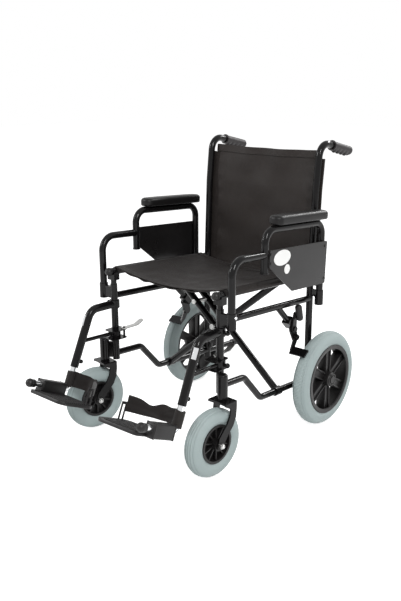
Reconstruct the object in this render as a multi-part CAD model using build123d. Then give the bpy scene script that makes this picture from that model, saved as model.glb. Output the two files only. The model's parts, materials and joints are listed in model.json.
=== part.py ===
from build123d import *
import os
from math import asin, cos, degrees, radians, sin, sqrt, tan

os.makedirs("parts", exist_ok=True)

# Millimetres. X is across the chair, Y points to the rear, Z is up, and the wheels stand on Z = 0.
# Pieces are drawn with Y = 0 at the front posts, for the left side, and mirrored for the right side.

# Side frames
frame_half_width = 215.0
post_spacing = 443.0
frame_pitch = 3.4
tube_d = 22.0
tube_wall = 1.5
rail_d = 20.0
front_post_bottom = 222.0
front_post_top = 465.0
upper_rail_z = 431.0
lower_rail_z = 242.0
dropped_rail_z = 157.2
drop_start = 108.0
drop_end = 189.0
drop_bend_r = 26.0
tipping_reach = 175.0
tipping_cap_length = 40.0
cap_wall = 2.2

# Rear posts and push handles
rear_post_bottom = 108.0
cane_knee_z = 745.0
cane_lean = 14.0
cane_upper_lean = 16.0
handle_corner_z = 891.6
handle_length = 167.0
handle_droop = 12.6
handle_bend_r = 40.0
cane_bend_r = 160.0
grip_length = 102.0
grip_r = 14.5
grip_ridges = 5

# Armrests
arm_offset = 43.0
arm_front_y = -3.0
arm_rear_y = 430.0
socket_d = 27.0
front_socket_z = 419.0
rear_socket_z = 396.0
socket_depth = 46.0
arm_step_z = 611.0
arm_step_bend_r = 44.0
arm_leg_y = 143.0
arm_leg_bottom = 551.0
arm_top_z = 681.5
arm_top_bend_r = 38.0
button_r = 4.5
button_travel = 4.0
pad_front_y = 179.0
pad_length = 262.0
pad_width = 46.0
pad_thickness = 28.0
panel_thickness = 3.0
panel_front_y = 147.0
panel_rear_y = 441.0
panel_top_z = 625.0
panel_front_depth = 49.0
panel_knee_y = 260.0
panel_depth = 132.0

# Seat and cross braces
seat_rail_z = 508.0
seat_rail_front = -13.0
seat_rail_to_post = 19.0
seat_rail_rear = post_spacing - seat_rail_to_post
brace_y = 262.0
brace_spacing = 27.0
sleeve_d = 28.0
sleeve_length = 26.0
pivot_bolt_r = 5.0
stay_bolt_share = 0.69
rail_cap_r = 12.6
saddle_insert_d = 18.0
saddle_rise = 15.0
saddle_width = 30.0
saddle_length = 22.0
sling_thickness = 3.0
seat_sag = 26.0
seat_front_y = 3.0
seat_rear_y = seat_rail_rear
back_bottom_z = 445.0
back_top_drop = 25.6
back_top_z = handle_corner_z - back_top_drop
back_overhang = 4.0
back_notch_gap = 1.5
back_notch_z = handle_corner_z - 1.25 * handle_bend_r - 1

# Casters
caster_r = 100.0
caster_tyre_depth = 46.0
caster_bead_depth = 4.0
caster_section_r = (caster_tyre_depth + caster_bead_depth) / 2
caster_seat_r = caster_r - caster_tyre_depth
caster_rim_half = 20.5
caster_flange_height = 3.0
caster_flange_r = caster_seat_r + caster_flange_height
caster_hub_r = 17.0
caster_ribs = 10
caster_out = 28.5
caster_forward = 23.0
caster_trail = 42.0
housing_d = 30.0
housing_bottom = 220.0
housing_top = 293.0
stem_r = 6.0
fork_gap = 58.0
fork_leg = 5.0
fork_crown = 6.0
fork_crown_length = 46.0
fork_boss_r = 13.0
axle_r = 5.0
caster_turn = {"left": -3.0, "right": -12.0}

# Rear wheels
wheel_r = 152.0
wheel_tyre_depth = 42.0
wheel_bead_depth = 12.0
wheel_section_r = (wheel_tyre_depth + wheel_bead_depth) / 2
wheel_seat_r = wheel_r - wheel_tyre_depth
wheel_rim_half = 26.4
wheel_flange_height = 2.5
wheel_flange_r = wheel_seat_r + wheel_flange_height
wheel_out = 63.0
wheel_hub_r = 24.0
wheel_hub_inner = 36.0
wheel_hub_outer = 30.0
wheel_spokes = 6
spoke_width = 25.0
wheel_axle_r = 6.0
rim_wall = 4.0

# Brakes
brake_tube_d = 19.0
brake_start_y = 268.0
brake_end_y = 348.0
brake_plate = 5.0
brake_pivot_y = 337.0
brake_pivot_z = 332.0
shoe_pivot_y = 349.0
shoe_pivot_z = 302.0
shoe_pressed_gap = 0.6
shoe_release = 8.0
shoe_length = 28.0
shoe_past_tyre_middle = 8.0
shoe_thickness = 5.0
lever_height = 46.0
knob_length = 54.0
knob_r = 11.0

# Footrests
toe_out = 2.4
hanger_z = 404.0
hanger_tilt = 24.0
hanger_d = 25.0
hanger_bend_r = 36.0
hanger_knee_y = -94.0
hanger_length = 180.0
hanger_ring_height = 24.0
hanger_ring_wall = 5.0
strut_z = 309.0
strut_d = 12.0
foot_rod_d = 20.0
foot_rod_wall = 1.8
foot_drop = 249.0
foot_rod_length = 137.0
foot_rod_bend_r = 16.0
foot_overlap = 130.0
foot_cap_r = 13.0
plate_width = 160.0
plate_depth = 128.0
plate_thickness = 10.0
plate_drop = 15.0
plate_corner_r = 26.0
hinge_sleeve_r = 17.0
hinge_sleeve_length = 90.0
loop_height = 44.0
loop_lift = 8.0
loop_thickness = 3.0
loop_bow = 30.0

# Clearances
running = 0.05
sliding = 0.08
soft_gap = 0.3
seat_clear = 0.8

slope = tan(radians(frame_pitch))
tube_r = tube_d / 2
rail_r = rail_d / 2
x_frame = frame_half_width
x_arm = x_frame + arm_offset
x_wheel = x_frame + wheel_out
x_caster = x_frame + caster_out
y_caster = -caster_forward
wheel_y = post_spacing
arm_fit_r = tube_r + sliding
hanger_wall = (hanger_d - foot_rod_d) / 2 - sliding


def sloped(z_front, y):
    """Height at y of a line that slopes with the side frame and has z_front at the front posts."""
    return z_front - slope * y


def bar(start, end, radius):
    """A solid round bar between two points."""
    run = Vector(*end) - Vector(*start)
    return Plane(origin=start, z_dir=run) * Cylinder(
        radius, run.length, align=(Align.CENTER, Align.CENTER, Align.MIN)
    )


def tube(points, outer_d, wall, radii=None):
    """A round tube along straight runs joined by arcs, as a solid rod and the bore to cut from it."""
    if radii is None:
        return bar(*points, outer_d / 2), bar(*points, outer_d / 2 - wall)
    path = FilletPolyline(*points, radius=radii)
    start = Plane(origin=path @ 0, z_dir=path % 0)
    rod = sweep(start * Circle(outer_d / 2), path)
    bore = sweep(start * Circle(outer_d / 2 - wall), path)
    return rod, bore


def block(low, high):
    """A box from its lowest to its highest corner."""
    size = [b - a for a, b in zip(low, high)]
    middle = [(a + b) / 2 for a, b in zip(low, high)]
    return Pos(*middle) * Box(*size)


def side_plate(outline, x_inner, x_outer):
    """A plate across X with its outline given as (y, z) points."""
    face = make_face(Polyline(*[(x_inner, y, z) for y, z in outline], close=True))
    return extrude(face, x_outer - x_inner, dir=(1, 0, 0))


def pill_plate(ends, radii, x_inner, x_outer):
    """A plate across X with round ends of the given radii about two (y, z) points."""
    (y0, z0), (y1, z1) = ends
    r0, r1 = radii
    run = sqrt((y1 - y0) ** 2 + (z1 - z0) ** 2)
    turn = asin((r0 - r1) / run)
    along = ((y1 - y0) / run, (z1 - z0) / run)
    across = (-along[1], along[0])
    corners = []
    for side in (1, -1):
        for (y, z), r in (((y0, z0), r0), ((y1, z1), r1)):
            a = r * sin(turn)
            b = r * cos(turn) * side
            corners.append((y + a * along[0] + b * across[0], z + a * along[1] + b * across[1]))
    outline = [corners[0], corners[1], corners[3], corners[2]]
    plate = side_plate(outline, x_inner, x_outer)
    for (y, z), r in (((y0, z0), r0), ((y1, z1), r1)):
        plate += bar((x_inner, y, z), (x_outer, y, z), r)
    return plate


def pitched(shape):
    """Turns a shape drawn on the level to the side frame's slope and sets it on the dropped rails."""
    return Pos(0, brace_y, sloped(dropped_rail_z, brace_y)) * (Rot(-frame_pitch, 0, 0) * shape)


# Side frame

def front_post():
    post = bar((x_frame, 0, front_post_bottom), (x_frame, 0, front_post_top), tube_r)
    housing = bar((x_caster, y_caster, housing_bottom), (x_caster, y_caster, housing_top), housing_d / 2)
    housing = fillet(housing.edges().sort_by(Axis.Z)[-1], housing_d / 4)
    socket_top = front_socket_z + socket_depth
    socket = bar((x_arm, arm_front_y, front_socket_z), (x_arm, arm_front_y, socket_top), socket_d / 2)
    reach = sqrt(caster_out**2 + caster_forward**2)
    angle = degrees(asin(caster_forward / reach))
    web = block((0, -5, 0), (reach, 5, housing_top - housing_bottom - housing_d / 2 - 7))
    web = Pos(x_frame, 0, housing_bottom + 8) * (Rot(0, 0, -angle) * web)
    bracket = block(
        (x_frame, arm_front_y - 6, front_socket_z + 4), (x_arm, arm_front_y + 6, socket_top - 6)
    )
    solid = post + housing + socket + web + bracket
    solid -= bar(
        (x_frame, 0, front_post_bottom - 1), (x_frame, 0, front_post_top + 1), tube_r - tube_wall
    )
    solid -= bar((x_arm, arm_front_y, front_socket_z + 4), (x_arm, arm_front_y, socket_top + 1), arm_fit_r)
    solid -= bar(
        (x_caster, y_caster, housing_bottom - 1), (x_caster, y_caster, housing_top - 7), stem_r + running
    )
    button_z = front_socket_z + socket_depth - 10
    return solid - bar(
        (x_arm, arm_front_y, button_z), (x_arm + socket_d, arm_front_y, button_z), button_r + sliding
    )


def cane_points():
    y_foot = post_spacing
    y_knee = y_foot + cane_lean
    y_corner = y_knee + cane_upper_lean
    droop = radians(handle_droop)
    y_end = y_corner + handle_length * cos(droop)
    z_end = handle_corner_z - handle_length * sin(droop)
    return [
        (x_frame, y_foot, rear_post_bottom),
        (x_frame, y_foot, upper_rail_z),
        (x_frame, y_knee, cane_knee_z),
        (x_frame, y_corner, handle_corner_z),
        (x_frame, y_end, z_end),
    ]


def rear_post():
    cane, hollow = tube(cane_points(), tube_d, tube_wall, [cane_bend_r, cane_bend_r, handle_bend_r])
    socket_top = rear_socket_z + socket_depth
    socket = bar((x_arm, arm_rear_y, rear_socket_z), (x_arm, arm_rear_y, socket_top), socket_d / 2)
    reach = sqrt(arm_offset**2 + (post_spacing - arm_rear_y) ** 2)
    angle = degrees(asin((post_spacing - arm_rear_y) / reach))
    rail_top = sloped(upper_rail_z, post_spacing) + rail_r
    bracket = block((0, -3, rail_top + 2), (reach, 3, socket_top - 3))
    bracket = Pos(x_frame, post_spacing, 0) * (Rot(0, 0, -angle) * bracket)
    bore = bar((x_arm, arm_rear_y, rear_socket_z + 4), (x_arm, arm_rear_y, socket_top + 1), arm_fit_r)
    cane += socket + bracket
    cane -= hollow
    cane -= bore
    return cane - bar(
        (x_frame - tube_d, wheel_y, wheel_r), (x_frame + tube_d, wheel_y, wheel_r), wheel_axle_r + running
    )


def rails():
    """The upper rail, the lower rail with its drop, and the tipping lever behind the rear post."""
    cope_r = tube_r + running
    posts = [
        bar((x_frame, 0, 0), (x_frame, 0, front_post_top), cope_r),
        bar((x_frame, post_spacing, 0), (x_frame, post_spacing, upper_rail_z), cope_r),
    ]
    ends = [(x_frame, y, sloped(upper_rail_z, y)) for y in (0, post_spacing)]
    upper = tube(ends, rail_d, tube_wall)
    route = [
        (x_frame, 0, lower_rail_z),
        (x_frame, drop_start, sloped(lower_rail_z, drop_start)),
        (x_frame, drop_end, sloped(dropped_rail_z, drop_end)),
        (x_frame, post_spacing, sloped(dropped_rail_z, post_spacing)),
    ]
    lower = tube(route, rail_d, tube_wall, [drop_bend_r, drop_bend_r])
    ends = [(x_frame, y, sloped(dropped_rail_z, y)) for y in (post_spacing, post_spacing + tipping_reach)]
    tip = tube(ends, rail_d, tube_wall)
    kept = []
    for rod, bore in (upper, lower, tip):
        coped = (rod - posts[0] - posts[1]).solids()
        kept.append(max(coped, key=lambda s: s.volume) - bore)
    return Compound(children=kept)


def tipping_cap():
    tip_y = post_spacing + tipping_reach
    cap_r = rail_r + cap_wall
    cap = Rot(-90, 0, 0) * Cylinder(cap_r, tipping_cap_length, align=(Align.CENTER, Align.CENTER, Align.MAX))
    cap = Pos(0, cap_wall + running, 0) * cap
    cap = fillet(cap.edges().sort_by(Axis.Y)[-1], cap_wall)
    cap -= Pos(0, running, 0) * (
        Rot(-90, 0, 0) * Cylinder(
            rail_r + running, tipping_cap_length + 1, align=(Align.CENTER, Align.CENTER, Align.MAX)
        )
    )
    return Pos(x_frame, tip_y, sloped(dropped_rail_z, tip_y)) * (Rot(-frame_pitch, 0, 0) * cap)


def hand_grip():
    """A rubber grip pushed on the handle, with finger ridges below."""
    grip = Rot(-90, 0, 0) * Cylinder(grip_r, grip_length, align=(Align.CENTER, Align.CENTER, Align.MAX))
    ridge_step = grip_length / grip_ridges
    ridge_r = ridge_step * 0.62
    keel = block((-grip_r * 0.62, -grip_length + 3, -grip_r - 5.5), (grip_r * 0.62, -2, 0))
    for i in range(1, grip_ridges):
        y = -grip_length + i * ridge_step
        keel -= bar((-grip_r, y, -grip_r - 5.5 - ridge_r * 0.45), (grip_r, y, -grip_r - 5.5 - ridge_r * 0.45), ridge_r)
    grip += keel
    flange = Pos(0, -grip_length, 0) * (Rot(-90, 0, 0) * Cylinder(grip_r + 2, 4))
    grip = Pos(0, 3, 0) * (grip + flange)
    grip -= Rot(-90, 0, 0) * Cylinder(
        tube_r + running, grip_length + 6, align=(Align.CENTER, Align.CENTER, Align.MAX)
    )
    return Pos(*cane_points()[-1]) * (Rot(-handle_droop, 0, 0) * grip)


def saddles():
    """The front post's insert with its U-shaped saddle, and the rear saddle on the rear post."""
    insert_top = seat_rail_z - tube_r - saddle_rise
    insert = bar((x_frame, 0, front_post_top - 30), (x_frame, 0, insert_top), saddle_insert_d / 2)
    insert += bar((x_frame, 0, front_post_top), (x_frame, 0, front_post_top + 3), tube_r)
    cradle = block(
        (x_frame - saddle_width / 2, -saddle_length / 2, insert_top),
        (x_frame + saddle_width / 2, saddle_length / 2, seat_rail_z - 1),
    )
    rear_y = seat_rail_rear - saddle_length / 2
    rear_z = sloped(seat_rail_z, rear_y)
    rear = block(
        (x_frame - saddle_width / 2, rear_y - saddle_length / 2, rear_z - tube_r - 8),
        (x_frame + saddle_width / 2, post_spacing, rear_z - 4),
    )
    rail_groove = bar(
        (x_frame, -60, sloped(seat_rail_z, -60)),
        (x_frame, seat_rail_rear + 2, sloped(seat_rail_z, seat_rail_rear + 2)),
        tube_r + soft_gap,
    )
    slot_low = sloped(seat_rail_z, seat_rail_rear)
    rail_groove += block(
        (x_frame - tube_r - soft_gap, rear_y - saddle_length, slot_low),
        (x_frame + tube_r + soft_gap, seat_rail_rear + 2, slot_low + tube_d),
    )
    rear -= tube(cane_points(), tube_d + 2 * running, tube_wall, [cane_bend_r, cane_bend_r, handle_bend_r])[0]
    rear = max((rear - rail_groove).solids(), key=lambda s: s.volume)
    return Compound(children=[(insert + (cradle - rail_groove)).solids()[0], rear])


def brake_bracket():
    """The drop tube under the upper rail and the plate that carries the brake's two pivots."""
    start_z = sloped(upper_rail_z, brake_start_y)
    drop = brake_end_y - brake_start_y
    end_z = start_z - drop
    rail = bar(
        (x_frame, 0, upper_rail_z), (x_frame, post_spacing, sloped(upper_rail_z, post_spacing)), rail_r + running
    )
    solid = bar((x_frame, brake_start_y, start_z), (x_frame, brake_end_y, end_z), brake_tube_d / 2)
    inner = x_frame + brake_tube_d / 2 - 1
    outer = inner + brake_plate
    solid += pill_plate(
        [(brake_pivot_y, brake_pivot_z), (shoe_pivot_y, shoe_pivot_z)], (16, 13), inner, outer
    )
    for y, z in ((brake_pivot_y, brake_pivot_z), (shoe_pivot_y, shoe_pivot_z)):
        solid += bar((inner, y, z), (outer + brake_plate + 6, y, z), pivot_bolt_r)
        solid += bar((outer + brake_plate + 1, y, z), (outer + brake_plate + 6, y, z), pivot_bolt_r + 3)
    clamp_y = brake_end_y - 16
    clamp_z = end_z + 16
    solid += Pos(x_frame, clamp_y, clamp_z) * (Rot(-45, 0, 0) * Box(brake_tube_d + 8, 34, brake_tube_d + 8))
    return (solid - rail).solids().sort_by(SortBy.VOLUME)[-1]


def lever_x():
    inner = x_frame + brake_tube_d / 2 - 1 + brake_plate + 0.3
    return inner, inner + brake_plate


def brake_lever():
    """The hand lever with its knob, which swings about the upper brake pivot."""
    inner, outer = lever_x()
    tip = (brake_pivot_y + 4, brake_pivot_z + lever_height)
    arm = pill_plate([(brake_pivot_y, brake_pivot_z), tip], (11, 8), inner, outer)
    arm -= bar((inner - 1, brake_pivot_y, brake_pivot_z), (outer + 1, brake_pivot_y, brake_pivot_z),
               pivot_bolt_r + running)
    knob_x = outer + knob_r + 1
    arm += bar((inner, tip[0], tip[1]), (knob_x, tip[0], tip[1]), 6)
    knob = Cylinder(knob_r, knob_length)
    knob = fillet(knob.edges(), knob_r * 0.8)
    return arm + Pos(knob_x, tip[0], tip[1] + 8) * (Rot(14, 0, 0) * knob)


def brake_shoe():
    """The arm under the lower brake pivot and the plate that presses on the tyre, drawn pressed on."""
    inner, outer = lever_x()
    face_r = wheel_r + shoe_pressed_gap
    reach = face_r * cos(radians(45))
    y, z = wheel_y - reach, wheel_r + reach
    out = shoe_thickness * cos(radians(45))
    arm = pill_plate([(shoe_pivot_y, shoe_pivot_z), (y - out / 2, z + out / 2)], (10, 8), inner, outer)
    x_far = x_wheel + shoe_past_tyre_middle
    plate = Pos(0, 0, shoe_thickness / 2) * Box(x_far - inner, shoe_length, shoe_thickness)
    plate = Pos((x_far + inner) / 2, y, z) * (Rot(45, 0, 0) * plate)
    solid = arm + plate
    solid -= bar((inner - 1, wheel_y, wheel_r), (x_far + 1, wheel_y, wheel_r), face_r)
    solid -= bar(
        (inner - 1, shoe_pivot_y, shoe_pivot_z), (outer + 1, shoe_pivot_y, shoe_pivot_z), pivot_bolt_r + running
    )
    about_pivot = Pos(0, -shoe_pivot_y, -shoe_pivot_z) * solid
    return Pos(0, shoe_pivot_y, shoe_pivot_z) * (Rot(-shoe_release, 0, 0) * about_pivot)


# Wheels, drawn about the X axis with the outboard side at positive X

def tyre(outer_r, section_r, seat_r, groove_places):
    section = Pos(0, outer_r - section_r) * Circle(section_r)
    section -= Pos(0, seat_r / 2) * Rectangle(4 * section_r, seat_r)
    for x in groove_places:
        surface = outer_r - section_r + sqrt(section_r**2 - x**2)
        section -= Pos(x, surface) * Circle(1.3)
    return revolve(section, Axis.X)


def rim_barrel(seat_r, half_width, flange_r, flange_wall):
    section = Pos(0, seat_r - rim_wall / 2) * Rectangle(2 * half_width, rim_wall)
    for side in (1, -1):
        height = flange_r - seat_r + rim_wall
        section += Pos(side * (half_width - flange_wall / 2), flange_r - height / 2) * Rectangle(
            flange_wall, height
        )
    return revolve(section, Axis.X)


def caster_tyre():
    return tyre(caster_r, caster_section_r, caster_seat_r, (-11, -4, 4, 11))


def caster_wheel():
    hub_half = fork_gap / 2 - soft_gap
    wheel = rim_barrel(caster_seat_r, caster_rim_half, caster_flange_r, 2.8)
    wheel += Rot(0, 90, 0) * Cylinder(caster_hub_r, 2 * hub_half)
    wheel += Rot(0, 90, 0) * Cylinder(caster_seat_r - rim_wall / 2, 6)
    for i in range(caster_ribs):
        rib = block(
            (-caster_rim_half + 5, -1.6, caster_hub_r - 2), (caster_rim_half - 5, 1.6, caster_seat_r - 2)
        )
        wheel += Rot(i * 360 / caster_ribs, 0, 0) * rib
    return wheel - Rot(0, 90, 0) * Cylinder(axle_r + running, 2 * hub_half + 2)


def caster_axle():
    """The bolt through the fork, with a nut and a dome on each side."""
    half = fork_gap / 2 + fork_leg + running
    axle = Rot(0, 90, 0) * Cylinder(axle_r, 2 * half + 12)
    for side in (1, -1):
        axle += Pos(side * (half + 3), 0, 0) * (Rot(0, 90, 0) * Cylinder(8, 6))
        axle += Pos(side * (half + 6.6), 0, 0) * Sphere(6.5)
    return axle


def caster_fork():
    """Crown, two legs and the stem, drawn with the swivel axis on Z at Y = 0 and the wheel ahead."""
    crown_top = housing_bottom - 3
    crown_z = crown_top - fork_crown
    outer = fork_gap / 2 + fork_leg
    crown = block(
        (-outer, -fork_crown_length / 2, crown_z), (outer, fork_crown_length / 2, crown_top)
    )
    crown = fillet(crown.edges().filter_by(Axis.Y).sort_by(Axis.Z)[-2:], 3)
    fork = crown
    for side in (1, -1):
        inner = side * fork_gap / 2
        x0, x1 = sorted((inner, side * outer))
        half = fork_crown_length / 2
        shin = [
            (-half, crown_top - 2),
            (half, crown_top - 2),
            (half, crown_z - 16),
            (half - 3, crown_z - 42),
            (half - 14, crown_z - 66),
            (half - 34, crown_z - 86),
            (-caster_trail + fork_boss_r, caster_r),
            (-caster_trail - fork_boss_r, caster_r),
            (-caster_trail - 5, crown_z - 88),
            (-half - 9, crown_z - 72),
            (half - 37, crown_z - 54),
            (half - 27, crown_z - 34),
            (half - 24, crown_z - 14),
            (-half, crown_z - 2),
        ]
        leg = side_plate(shin, x0, x1)
        leg += bar((x0, -caster_trail, caster_r), (x1, -caster_trail, caster_r), fork_boss_r)
        fork += leg
    fork += bar((0, 0, crown_top), (0, 0, housing_top - 8), stem_r)
    fork += bar((0, 0, crown_top), (0, 0, housing_bottom - 0.3), housing_d / 2 - 2)
    return fork - bar(
        (-outer - 1, -caster_trail, caster_r), (outer + 1, -caster_trail, caster_r), axle_r + running
    )


def rear_tyre():
    return tyre(wheel_r, wheel_section_r, wheel_seat_r, (-12, -4, 4, 12))


def rear_wheel():
    wheel = rim_barrel(wheel_seat_r, wheel_rim_half, wheel_flange_r, 1.9)
    hub_length = wheel_hub_inner + wheel_hub_outer
    hub_middle = (wheel_hub_outer - wheel_hub_inner) / 2
    hub = Pos(hub_middle, 0, 0) * (Rot(0, 90, 0) * Cylinder(wheel_hub_r - 4, hub_length))
    hub += Rot(0, 90, 0) * Cylinder(wheel_hub_r, 2 * wheel_rim_half - 8)
    wheel += hub
    for i in range(wheel_spokes):
        half = spoke_width / 2
        flat = block((-5, -half, wheel_hub_r - 3), (5, half, wheel_seat_r - 2))
        ribs = block((-14, -half, wheel_hub_r - 3), (14, -half + 4, wheel_seat_r - 2))
        ribs += block((-14, half - 4, wheel_hub_r - 3), (14, half, wheel_seat_r - 2))
        wheel += Rot(i * 360 / wheel_spokes, 0, 0) * (flat + ribs)
    return wheel - Pos(hub_middle, 0, 0) * (Rot(0, 90, 0) * Cylinder(wheel_axle_r + running, hub_length + 2))


def rear_axle():
    """The bolt through the rear post, with its spacer, inner nut and outer head."""
    post_inner = -wheel_out - tube_r
    post_outer = -wheel_out + tube_r
    axle = bar((post_inner - 10, 0, 0), (wheel_hub_outer + 4, 0, 0), wheel_axle_r)
    axle += bar((post_inner - 8, 0, 0), (post_inner - 0.3, 0, 0), 10)
    axle += bar((post_outer + 0.3, 0, 0), (-wheel_hub_inner - 0.3, 0, 0), 10)
    return axle + bar((wheel_hub_outer + 0.3, 0, 0), (wheel_hub_outer + 6, 0, 0), 12)


# Cross braces, drawn on the level with the lower rails at Z = 0 and the seat rails at seat_lift

seat_lift = (seat_rail_z - dropped_rail_z) * cos(radians(frame_pitch))
seat_shift = seat_lift * sin(radians(frame_pitch))
member_length = sqrt((2 * x_frame) ** 2 + seat_lift**2)
level_front = (seat_rail_front - brace_y - seat_shift) / cos(radians(frame_pitch))
level_rear = (seat_rail_rear - brace_y - seat_shift) / cos(radians(frame_pitch))


def member_point(share, y):
    """A point on the brace that stands on the left rail, from its foot (0) to its top (1)."""
    return x_frame * (1 - 2 * share), y, seat_lift * share


def brace_with_rail(y, strut_y=None):
    """A brace from the left lower rail up to the seat rail on the right, which it carries."""
    foot, top = member_point(0, y), member_point(1, y)
    clear = (tube_r + 5) / member_length
    solid = bar(foot, top, tube_r)
    solid += bar((x_frame, y - sleeve_length / 2, 0), (x_frame, y + sleeve_length / 2, 0), sleeve_d / 2)
    solid += bar((-x_frame, level_front, seat_lift), (-x_frame, level_rear, seat_lift), tube_r)
    hollow = bar(member_point(clear, y), member_point(1 - clear, y), tube_r - tube_wall)
    if strut_y is not None:
        solid += bar(member_point(0.47, strut_y), member_point(1, strut_y), tube_r)
        hollow += bar(member_point(0.48, strut_y), member_point(1 - clear, strut_y), tube_r - tube_wall)
    solid -= hollow
    solid -= bar(
        (-x_frame, level_front - 1, seat_lift), (-x_frame, level_rear + 1, seat_lift), tube_r - tube_wall
    )
    solid -= bar((x_frame, y - sleeve_length, 0), (x_frame, y + sleeve_length, 0), rail_r + running)
    low = brace_spacing * -3
    solid -= bar((0, low, seat_lift / 2), (0, -low, seat_lift / 2), pivot_bolt_r + running)
    if strut_y is not None:
        x, _, z = member_point(stay_bolt_share, 0)
        solid -= bar((x, low, z), (x, -low, z), pivot_bolt_r - 1 + running)
    return solid


front_plane = -brace_spacing / 2
rear_plane = brace_spacing / 2
strut_plane = front_plane - brace_spacing


def centre_pivot():
    """The bolt through the strut and both braces, with washers between them, and the strut's own bolt."""
    z = seat_lift / 2
    front, rear = strut_plane - tube_r, rear_plane + tube_r
    bolt = bar((0, front - 6, z), (0, rear + 6, z), pivot_bolt_r)
    bolt += bar((0, front - 6, z), (0, front - 0.2, z), pivot_bolt_r + 4)
    bolt += bar((0, rear + 0.2, z), (0, rear + 6, z), pivot_bolt_r + 4)
    washer = brace_spacing / 2 - tube_r - 0.3
    for middle in (0, -brace_spacing):
        bolt += bar((0, middle - washer, z), (0, middle + washer, z), pivot_bolt_r + 5)
    x, _, z = member_point(stay_bolt_share, 0)
    stay = bar((x, front - 4, z), (x, rear + 4, z), pivot_bolt_r - 1)
    stay += bar((x, front - 4, z), (x, front - 0.2, z), pivot_bolt_r + 3)
    stay += bar((x, rear + 0.2, z), (x, rear + 4, z), pivot_bolt_r + 3)
    stay += bar((x, strut_plane + tube_r + 0.3, z), (x, rear_plane - tube_r - 0.3, z), pivot_bolt_r + 2)
    return Compound(children=[pitched(bolt).solids()[0], pitched(stay).solids()[0]])


def seat_rail_caps():
    """The round front knob and the flat rear plug of a seat rail, for the rail on the right."""
    knob = Pos(-x_frame, level_front - rail_cap_r * 0.4, seat_lift) * Sphere(rail_cap_r)
    knob -= block(
        (-x_frame - 20, level_front - running, seat_lift - 20), (-x_frame + 20, level_front + 40, seat_lift + 20)
    )
    inner_r = tube_r - tube_wall - running
    knob += bar((-x_frame, level_front - 1, seat_lift), (-x_frame, level_front + 15, seat_lift), inner_r)
    plug = bar((-x_frame, level_rear + running, seat_lift), (-x_frame, level_rear + 2, seat_lift), tube_r)
    plug += bar((-x_frame, level_rear - 12, seat_lift), (-x_frame, level_rear + 1, seat_lift), inner_r)
    return Compound(children=[pitched(knob).solids()[0], pitched(plug).solids()[0]])


def seat_sling():
    """The seat cloth from rail to rail, sagging between them."""
    y0 = (seat_front_y - brace_y - seat_shift) / cos(radians(frame_pitch))
    y1 = (seat_rear_y - brace_y - seat_shift) / cos(radians(frame_pitch))
    low_z = seat_lift + tube_r + seat_clear
    high_z = low_z + sling_thickness
    edge = x_frame + tube_r
    lower = ThreePointArc((-x_frame, low_z), (0, low_z - seat_sag), (x_frame, low_z))
    upper = ThreePointArc((x_frame, high_z), (0, high_z - seat_sag), (-x_frame, high_z))
    right_end = Polyline((x_frame, low_z), (edge, low_z), (edge, high_z), (x_frame, high_z))
    left_end = Polyline((-x_frame, high_z), (-edge, high_z), (-edge, low_z), (-x_frame, low_z))
    face = make_face(Plane.XZ * (lower + right_end + upper + left_end))
    return pitched(Pos(0, y0, 0) * extrude(face, y1 - y0, dir=(0, 1, 0)))


def cane_y(z):
    """The centre line of the cane at height z, between the seat and the handle's bend."""
    if z <= cane_knee_z:
        share = (z - upper_rail_z) / (cane_knee_z - upper_rail_z)
        return post_spacing + cane_lean * share
    share = (z - cane_knee_z) / (handle_corner_z - cane_knee_z)
    return post_spacing + cane_lean + cane_upper_lean * share


def back_sling():
    """The back cloth behind the canes, wider than them, with a notch at each handle bend."""
    behind = tube_r + soft_gap
    edge = x_frame + tube_r + back_overhang
    levels = [back_bottom_z, cane_knee_z, back_top_z]
    front = [(cane_y(z) + behind, z) for z in levels]
    back = [(cane_y(z) + behind + sling_thickness, z) for z in reversed(levels)]
    sling = side_plate(front + back, -edge, edge)
    for side in (1, -1):
        x0, x1 = sorted((side * (x_frame - tube_r - back_notch_gap), side * (edge + 1)))
        sling -= block((x0, post_spacing, back_notch_z), (x1, post_spacing + 100, back_top_z + 1))
    return sling


# Armrests

def armrest_tube():
    """The front leg with its step, and the arch that carries the pad, joined where the step ends."""
    step = tube(
        [
            (x_arm, arm_front_y, front_socket_z + 5),
            (x_arm, arm_front_y, arm_step_z),
            (x_arm, arm_leg_y, sloped(arm_step_z, arm_leg_y)),
        ],
        tube_d - 2 * running, tube_wall, [arm_step_bend_r],
    )
    arch = tube(
        [
            (x_arm, arm_leg_y, arm_leg_bottom),
            (x_arm, arm_leg_y, sloped(arm_top_z, arm_leg_y)),
            (x_arm, arm_rear_y, sloped(arm_top_z, arm_rear_y)),
            (x_arm, arm_rear_y, rear_socket_z + 5),
        ],
        tube_d, tube_wall, [arm_top_bend_r, arm_top_bend_r],
    )
    plug = bar((x_arm, arm_leg_y, arm_leg_bottom - 3), (x_arm, arm_leg_y, arm_leg_bottom + 1), tube_r + 1)
    solid = arch[0] + step[0] + plug
    solid -= arch[1]
    solid -= step[1]
    button_z = front_socket_z + socket_depth - 10
    return solid - bar(
        (x_arm, arm_front_y, button_z), (x_arm + tube_d, arm_front_y, button_z), button_r + soft_gap
    )


def arm_button():
    """The button in the front socket that pushes the leg's catch in, through a hole in the leg."""
    button_z = front_socket_z + socket_depth - 10
    inner = x_arm + tube_r + 2 * running
    outer = x_arm + socket_d / 2 + button_travel
    button = bar((inner, arm_front_y, button_z), (outer, arm_front_y, button_z), button_r)
    return fillet(button.edges().sort_by(Axis.X)[-1], 2)


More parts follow.
